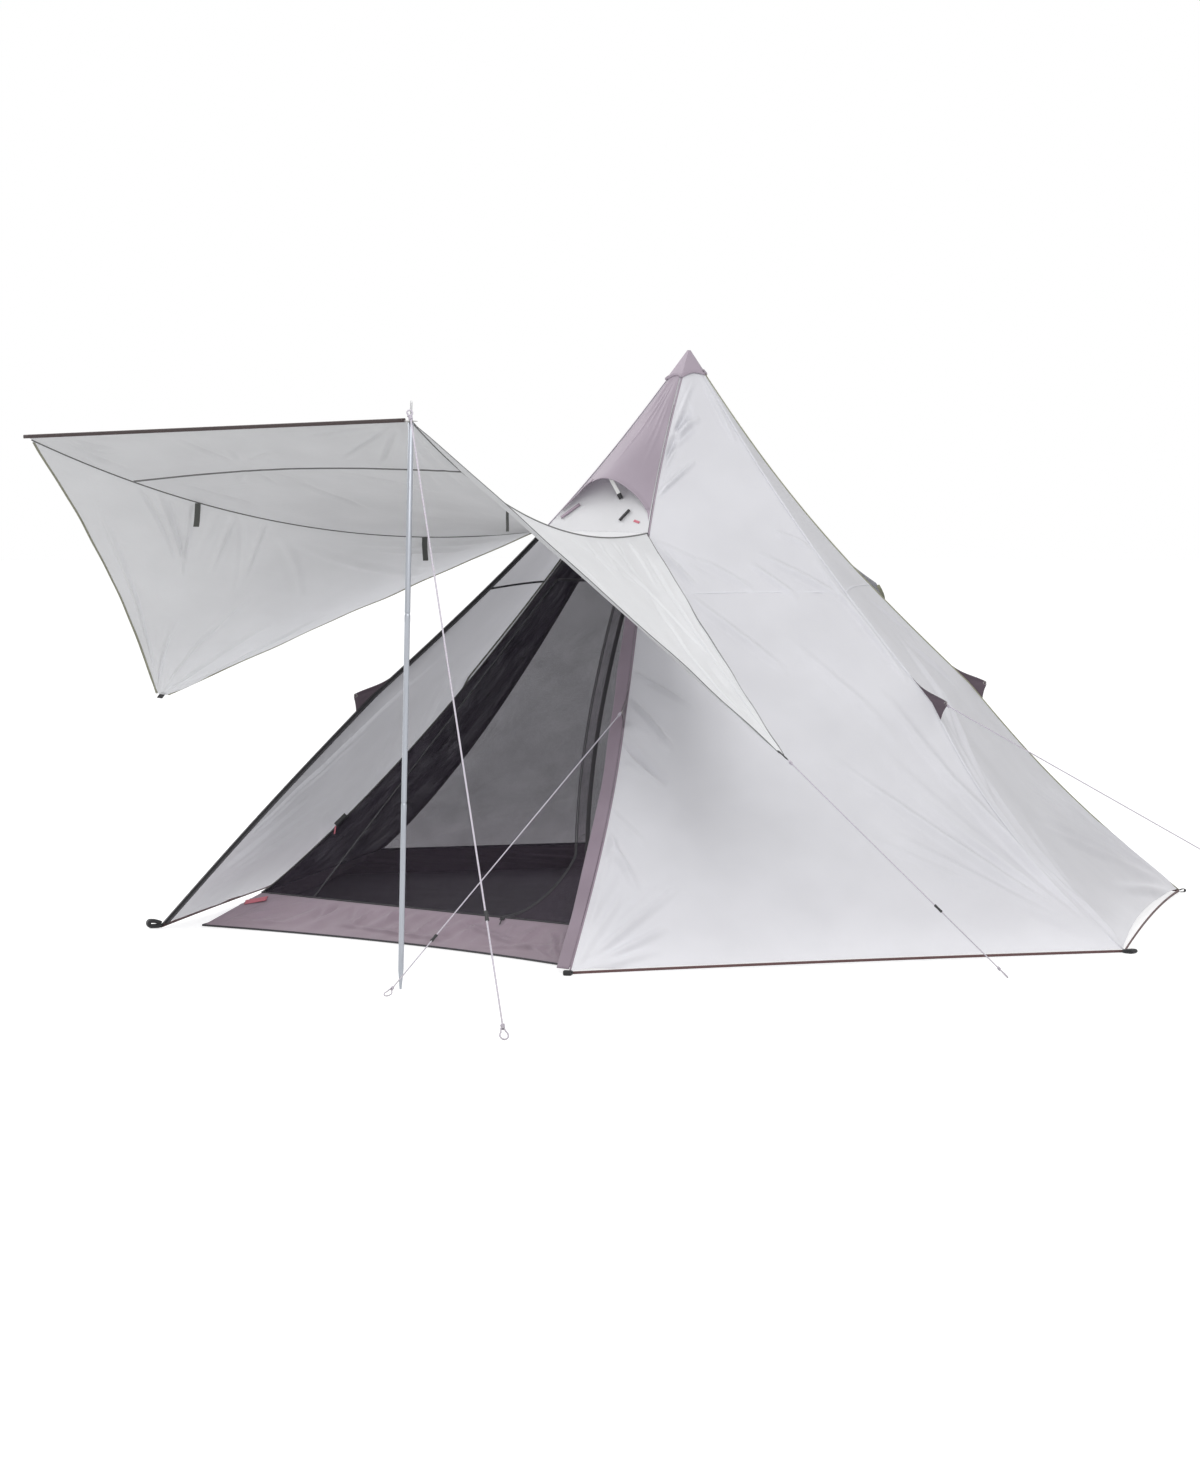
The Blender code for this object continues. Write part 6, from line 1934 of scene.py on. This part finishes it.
@dataclass
class InnerTent:
    """The inner tent: net panels, front with its zipped door, tapes, tub and groundsheet."""

    front_inset: float = 0.0073
    door_gap: float = 0.0006
    zip_lift: float = 0.0008
    zip_shift: float = 0.0034
    tub_columns: int = 150
    tub_rows: int = 34
    slope_length: float = 0.19
    slider_half: float = 0.0105

    def net_panels(self) -> None:
        """Five net panels, a little slack between their ridges."""
        for index, name in PANELS.items():
            share, way = shares_of(70, 90)
            height = INNER.tub + GAP + (INNER.top - INNER.tub - GAP) * way
            left, right = INNER.edge(index, height), INNER.edge(index + 1, height)
            along = unit(right - left)
            inset = (INNER.tape / 2 + GAP) / math.cos(math.pi / SIDES)
            points = mix(left + along * inset, right - along * inset, share)
            slack = crumple((share - 0.5) * 2.0, height, 0.006, 0.35, 60 + index)
            slack = slack * smooth(np.minimum(share, 1.0 - share) / 0.12)
            slack = slack * smooth((1.0 - way) / 0.1) * smooth(way / 0.06)
            finish = Finish.NET_SIDE if name == "front_left" else Finish.NET
            node = "inner_panel_" + name
            cloth_piece("net_" + name, points, slack, finish, "inner_mesh", node, ("inner_ridge_tapes",))

    def strip(self, left: Array, right: Array, heights: Array) -> Array:
        """Grid on the front between two lines of places across, at the given heights."""
        share = np.linspace(0.0, 1.0, 40)
        x = left[:, None] + (right - left)[:, None] * share[None]
        return INNER.front(x, np.broadcast_to(heights[:, None], x.shape))

    def front(self) -> None:
        """Net beside the door and above it, and the door itself with its zip."""
        foot = INNER.tub + GAP
        low = np.linspace(foot, INNER.door_top, 60)
        high = np.linspace(INNER.door_top, INNER.top, 40)
        edge, top_edge = INNER.half_width(low) - self.front_inset, INNER.half_width(high) - self.front_inset
        grids = (
            self.strip(-edge, INNER.hinge_x(low) - self.door_gap, low),
            self.strip(INNER.zip_x(low) + self.door_gap, edge, low),
            self.strip(-top_edge, top_edge, high),
        )
        finishes = (Finish.NET_HINGE, Finish.NET_EDGE, Finish.NET)
        for name, grid, finish in zip(("hinge_side", "zip_side", "above_door"), grids, finishes):
            node = "inner_front" if name == "above_door" else ""
            cloth_piece("net_front_" + name, grid, None, finish, "inner_mesh", node, ("inner_ridge_tapes",))
        door = self.strip(INNER.hinge_x(low) + self.door_gap, INNER.zip_x(low) - self.door_gap, low)
        slack = crumple(door[..., 0], door[..., 2], 0.004, 0.3, 71)
        share = np.linspace(0.0, 1.0, 40)[None]
        slack = slack * smooth(np.minimum(share, 1.0 - share) / 0.12) * smooth((low - foot)[:, None] / 0.05)
        cloth_piece(
            "net_door", door, slack, Finish.NET, "inner_mesh", "inner_door", ("inner_ridge_tapes",),
            "inner_door"
        )
        self.zips()

    def zips(self) -> None:
        """Two halves of the door's zip, one on each side of the opening, and the hinge's tape."""
        foot = INNER.tub + 0.002
        level = np.linspace(INNER.door_top, foot, 200)
        head = np.linspace(INNER.hinge_x(INNER.door_top), INNER.zip_x(INNER.door_top), 24)[:-1]
        x = np.concatenate([head, INNER.zip_x(level)])
        z = np.concatenate([np.full(head.shape, INNER.door_top), level])
        path = rounded_path(INNER.front(x, z), 160, 2)
        normal = unit(np.cross(ACROSS, INNER.front(0.0, 2.0) - INNER.front(0.0, 0.2)))
        across = unit(np.cross(tangents(path), normal))
        for name, sign, body in (("zip_fixed", -1.0, TENT), ("zip_door", 1.0, "inner_door")):
            line = path + across * (sign * self.zip_shift) + normal * self.zip_lift
            band(name, line, across, (0.0046, 0.0022), Finish.ZIP, body)
        ends = np.array([foot, INNER.door_top])
        hinge = INNER.front(INNER.hinge_x(ends), ends)
        line = mix(hinge[0], hinge[1], np.linspace(0.0, 1.0, 30)) + normal * self.zip_lift
        side = np.cross(unit(hinge[1] - hinge[0]), normal)
        band("door_hinge_tape", line - side * 0.0045, side, (0.008, 0.0016), Finish.ZIP)

    def slider(self) -> None:
        """Zip slider: a waisted body and a hanging pull."""
        middle = middle_of("inner_door_slider")
        way = np.linspace(-self.slider_half, self.slider_half, 22)
        size = 0.82 + 0.18 * np.cos(way / self.slider_half * math.pi) ** 2
        path = middle + way[:, None] * ACROSS
        slope = unit(np.subtract(*INNER.tub_point(0, np.array([0.7, 0.7]), np.array([1.0, 0.0]))))
        item = swept_object("zip_slider", path, slope, band_profile(0.0086, 0.0036, 20, 4.0))
        waisted(item, path, size)
        settle(item, Finish.PLASTIC, "inner_door_slider", "inner_door_slider")
        drop = middle + np.linspace(0.002, -0.026, 16)[:, None] * slope - [0.0, 0.0034, 0.0]
        band("zip_pull", drop, ACROSS, (0.0052, 0.0012), Finish.BLACK, "inner_door_slider")

    def tapes(self) -> None:
        """Tapes along the six ridges: bands carried up them, wider at the front left one, where the wide band
        is partly the dark tape and partly painted shade beside it.
        """
        height = np.linspace(INNER.tub + GAP, INNER.top + 0.008, 80)
        for corner in Corner:
            index = corner.value
            path = INNER.edge(index, height)
            # The wide band is partly the dark folded tape and partly painted shade along that ridge.
            wide = 0.034 if corner is Corner.LEFT else INNER.tape + 0.004
            side = np.cross(UP, SHAPE.ray(index))
            name, node = "inner_tape_" + corner.name.lower(), "" if index else "inner_ridge_tapes"
            band(name, path, side, (wide, 0.004), Finish.SEAM, node=node)

    def tub(self) -> None:
        """Tub wall round the groundsheet, slack between its corners."""
        points = ring_grid(self.tub_columns, self.tub_rows, INNER.tub_point)
        way = np.linspace(0.0, 1.0, self.tub_rows)[:, None]
        x, y = lengths_along(points), way * self.slope_length
        rise = folded(x, y, TUB_FOLDS) + crumple(x, y, 0.0040, 0.14, 81)
        rise = rise * smooth(way / 0.3) * smooth((1.0 - way) / 0.25)
        rise = rise * smooth(x / 0.05) * smooth((x[:, -1:] - x) / 0.05)
        cloth_piece(
            "tub_cloth", points, rise, Finish.TUB, "bathtub_cloth", "inner_bathtub", ("inner_floor",),
            wall=CLOTH_WALL, ring=True
        )
        for name, line, size in (
            ("tub_rim", points[-1, :-1] + UP * 0.001, (0.008, 0.0026)),
            ("tub_foot", points[0, :-1] + UP * 0.002, (0.0075, 0.0034)),
        ):
            band(name, line, UP, size, Finish.ZIP, loop=True)
        self.fittings()
        self.groundsheet(points[0] * [1.0, 1.0, 0.0])

    def groundsheet(self, foot: Array) -> None:
        """Groundsheet inside the tub's foot: rings towards the middle, a little uneven."""
        spokes = np.linspace(0.02, 1.0, 40)[:, None, None]
        floor = foot[None, ::-1] * spokes
        x, y = floor[..., 0], floor[..., 1]
        lift = np.abs(crumple(x, y, 0.0030, 0.5, 83)) * smooth((1.0 - spokes[..., 0]) / 0.06)
        floor[..., 2] = 0.0012 + lift
        floor[-1, :, 2] = 0.0046
        cloth_piece(
            "floor_cloth", floor, None, Finish.GROUND, "inner_mesh", "inner_floor", (), held="laid",
            wall=CLOTH_WALL, offset=1.0, ring=True
        )

    def fittings(self) -> None:
        """Tag at the tub's front left corner, and the clip on the front left ridge."""
        out = -SHAPE.outward(3) * 0.006 + UP * 0.002
        left, right = INNER.tub_point(0, np.array([0.006, 0.045]), np.array([0.70, 0.86]))
        up = np.subtract(*INNER.tub_point(0, np.array([0.03, 0.03]), np.array([1.0, 0.0])))
        patch("tub_tag", left + out, right + out, up, (0.028, 0.0016), Finish.TAG, "bathtub_cloth")
        clip = INNER.edge(0, np.array([0.385, 0.425])) + out * 1.6
        patch("ridge_clip", clip[0], clip[1], ACROSS, (0.022, 0.009), Finish.BLACK, "black_webbing")
        hook = clip[0] - UP * 0.004
        end = hook - UP * 0.030 + SHAPE.ray(1) * 0.014
        patch("ridge_clip_cord", hook, end, ACROSS, (0.006, 0.004), Finish.TAG, "black_webbing")

    def build(self) -> None:
        """Build the whole inner tent."""
        self.net_panels()
        self.front()
        self.slider()
        self.tapes()
        self.tub()


TUB_FOLDS = [
    *fan((1.88, 0.0), (116.0, 172.0), (0.12, 0.48), 9, 0.011, 0.0127, 91),
    *fan((0.06, 0.03), (4.0, 40.0), (0.12, 0.34), 5, 0.011, 0.0102, 92),
    *puckers(((0.30, 0.16), (1.70, 0.16)), -70.0, (0.05, 0.13), 14, 0.010, 0.0085, 93),
    Fold((1.10, 0.15), (1.62, 0.05), 0.013, 0.0119),
    Fold((0.55, 0.07), (1.25, 0.04), 0.012, 0.0093),
    Fold((1.30, 0.02), (1.80, 0.09), 0.012, 0.0110),
]


# The guy lines

@dataclass
class GuyLine:
    """A taut guy line: from its fixed end to an eye on the ground, with its runner."""

    name: str
    start: Point
    end: Point
    radius: float
    runner: Point
    at_spike: bool = False
    eye_radius: float = 0.014
    head_radius: float = 0.0095
    head_reach: float = 0.016
    opening: float = 140.0
    runner_half: float = 0.0178
    runner_size: Pair = (0.0074, 0.0049)

    def eye(self, centre: Array, along: Array, side: Array, size: float) -> Array:
        """Eye at an end: an arc of a circle from the neck round, then a point back at the neck."""
        turn = np.radians(np.linspace(self.opening, -self.opening, 24))
        arc = centre + (along * np.cos(turn)[:, None] + side * np.sin(turn)[:, None]) * size
        close = centre - along * (size * 1.7) - side * (self.radius * 2.8)
        return np.concatenate([arc, close[None]])

    def route(self) -> Array:
        """Points of the line: straight between its necks, with an eye at each loose end."""
        start, end = np.array(self.start), np.array(self.end)
        along = unit(end - start)
        side = unit(np.cross(UP, along))
        neck = end - along * (self.eye_radius * 2.4)
        parts = []
        head = start
        if self.at_spike:
            head = start + along * (self.head_radius * 2.4)
            parts.append(self.eye(start, -along, side, self.head_radius)[::-1])
        parts.append(mix(head, neck, np.linspace(0.0, 1.0, 24)))
        parts.append(self.eye(end, along, side, self.eye_radius))
        return np.concatenate(parts)

    def build(self) -> None:
        """The cord, the wrapped knot at each end, and the runner."""
        path = self.route()
        start, end = np.array(self.start), np.array(self.end)
        along = unit(end - start)
        side = unit(np.cross(UP, along))
        cord = swept_object("cord_" + self.name, path, UP, round_profile(self.radius, 10))
        settle(cord, Finish.CORD, node="guy_line_" + self.name)
        head = self.head_radius * 2.1 if self.at_spike else self.head_reach
        knots = [
            self.knot("foot", end - along * (self.eye_radius * 2.1), along),
            self.knot("head", start + along * head, along),
        ]
        runner = self.tensioner(np.array(self.runner), along, side)

    def knot(self, label: str, place: Array, along: Array) -> Item:
        """Three turns of cord wrapped round the line."""
        turn = np.linspace(0.0, 3.0 * math.tau, 60)
        side = unit(np.cross(UP, along))
        rise = np.cross(along, side)
        wide = self.radius * 1.75
        path = place + (np.cos(turn)[:, None] * side + np.sin(turn)[:, None] * rise) * wide
        path = path + ((turn / turn[-1] - 0.5) * self.radius * 5.6)[:, None] * along
        item = swept_object(f"knot_{self.name}_{label}", path, along, round_profile(self.radius * 0.9, 8))
        return settle(item, Finish.CORD)

    def tensioner(self, place: Array, along: Array, side: Array) -> Item:
        """Runner: an oval sleeve on the cord, waisted in the middle and ribbed for grip."""
        half, around = self.runner_half, 28
        way = np.linspace(-half, half, 40)
        turn = np.arange(around) * (math.tau / around)
        rise = np.cross(along, side)
        swing = way / half * math.pi
        waist = 1.0 - 0.16 * np.cos(swing / 2) ** 2 + 0.03 * np.cos(swing * 8)
        waist = waist * (1.0 - 0.25 * np.clip((np.abs(way) - 0.016) / 0.0018, 0.0, 1.0) ** 2)
        across, up = self.runner_size
        oval = np.cos(turn)[:, None] * side * across + np.sin(turn)[:, None] * rise * up
        bore = (np.cos(turn)[:, None] * side + np.sin(turn)[:, None] * rise) * (self.radius + 0.0005)
        outer = place + way[:, None, None] * along + oval[None] * waist[:, None, None]
        inner = place + way[::-1, None, None] * along + np.broadcast_to(bore[None], outer.shape)
        points = np.concatenate([outer, inner, outer[:1]])
        girth = np.broadcast_to((turn * 0.006)[None], points.shape[:2])
        uv = np.stack([girth, np.broadcast_to(np.arange(len(points))[:, None] * 0.001, girth.shape)], axis=-1)
        faces = [grid_faces(len(points), around, wrap=True)[:, ::-1]]
        item = mesh_object("runner_" + self.name, points.reshape(-1, 3), faces, uv.reshape(-1, 2))
        weld(item, SEAM_MERGE)
        node = "guy_runner_" + self.name
        return settle(item, Finish.PLASTIC, node, node)


GUY_LINES = (
    GuyLine(
        "pole", (1.0121, -2.5882, 1.9867), (2.047, -3.214, 0.01526), 0.003,
        (1.85986, -3.09906, 0.37326), at_spike=True
    ),
    GuyLine(
        "front_right", (0.70372, -1.17492, 0.88107), (1.01, -2.7, 0.00945), 0.00225,
        (0.95332, -2.41775, 0.17076)
    ),
    GuyLine(
        "wing", (1.64252, -1.33831, 0.76437), (2.263, -0.885, 0.01242), 0.00225,
        (2.07255, -1.02414, 0.24323)
    ),
    GuyLine(
        "right", (1.28843, 0.00161, 0.88056), (2.48, 0.98, 0.00949), 0.00225,
        (2.19739, 0.74795, 0.21609)
    ),
)


# The studio

@dataclass
class Studio:
    """Pale floor, soft lamps, white surroundings and the photograph's camera."""

    eye: Point = (12.11367827, -13.77801364, 2.03830953)
    forward: Point = (-0.67280754, 0.73626481, -0.07241649)
    upward: Point = (-0.04885062, 0.05345807, 0.99737448)
    lens: float = 4621.2 / 1466.0 * 36.0
    world_strength: float = 0.72

    def camera(self) -> None:
        """Camera at the photograph's place and angle."""
        data = bpy.data.cameras.new("camera")
        data.sensor_width = 36.0
        data.lens = self.lens
        data.clip_end = 200.0
        item = bpy.data.objects.new("camera", data)
        bpy.context.scene.collection.objects.link(item)
        forward, upward = Vector(self.forward), Vector(self.upward)
        right = forward.cross(upward).normalized()
        placed = Matrix((right, upward, -forward)).transposed().to_4x4()
        placed.translation = self.eye
        item.matrix_world = placed
        bpy.context.scene.camera = item

    def lamp(self, name: str, place: Point, aim: Point, size: float, power: float, colour: Colour) -> None:
        """A soft square lamp aimed at a point."""
        data = bpy.data.lights.new(name, "AREA")
        data.shape = "SQUARE"
        data.size = size
        data.energy = power
        data.color = colour
        item = bpy.data.objects.new(name, data)
        bpy.context.scene.collection.objects.link(item)
        item.location = place
        item.rotation_mode = "QUATERNION"
        item.rotation_quaternion = (Vector(aim) - Vector(place)).to_track_quat("-Z", "Y")

    def world(self) -> None:
        """Soft even light, white where the camera or a reflection sees it."""
        world = bpy.data.worlds.new("studio")
        world.use_nodes = True
        bpy.context.scene.world = world
        board = Board(world.node_tree)
        back = world.node_tree.nodes["Background"]
        seen = board.seen()
        back.inputs["Color"].default_value = (1.0, 1.0, 1.0, 1.0)
        board.put(back.inputs["Strength"], board.span(seen, 0.0, 1.0, (self.world_strength, 1.0)))

    def floor(self) -> None:
        """A wide round floor."""
        turn = np.linspace(0.0, math.tau, 97)
        spokes = np.array([0.02, 2.0, 5.0, 10.0, 20.0, 40.0])
        x, y = spokes[:, None] * np.cos(turn), spokes[:, None] * np.sin(turn)
        points = np.stack([x, y, np.full(x.shape, -0.0005)], axis=-1)
        item = mesh_object("floor", points.reshape(-1, 3), [grid_faces(*x.shape)])
        dress(item, Finish.FLOOR)

    def build(self) -> None:
        """Set the studio up."""
        self.camera()
        self.world()
        self.lamp("key", (7.5, -7.0, 7.5), (0.0, -0.3, 0.9), 9.0, 620.0, (1.0, 1.0, 1.0))
        self.lamp("fill", (-8.0, -1.5, 6.0), (0.0, -0.8, 0.9), 5.0, 480.0, (1.0, 1.0, 1.0))
        self.floor()
        bpy.context.scene.view_settings.view_transform = "Standard"


def main() -> None:
    """Build the studio and the tent."""
    logging.basicConfig(level=logging.INFO, format="%(name)s %(message)s")
    for name in ("Cube", "Light", "Camera"):
        startup = bpy.data.objects.get(name)
        if startup:
            bpy.data.objects.remove(startup, do_unlink=True)
    Studio().build()
    Fly().build()
    Awning().build()
    Poles().build()
    InnerTent().build()
    for line in GUY_LINES:
        line.build()
    bpy.context.view_layer.update()


if __name__ == "__main__":
    main()
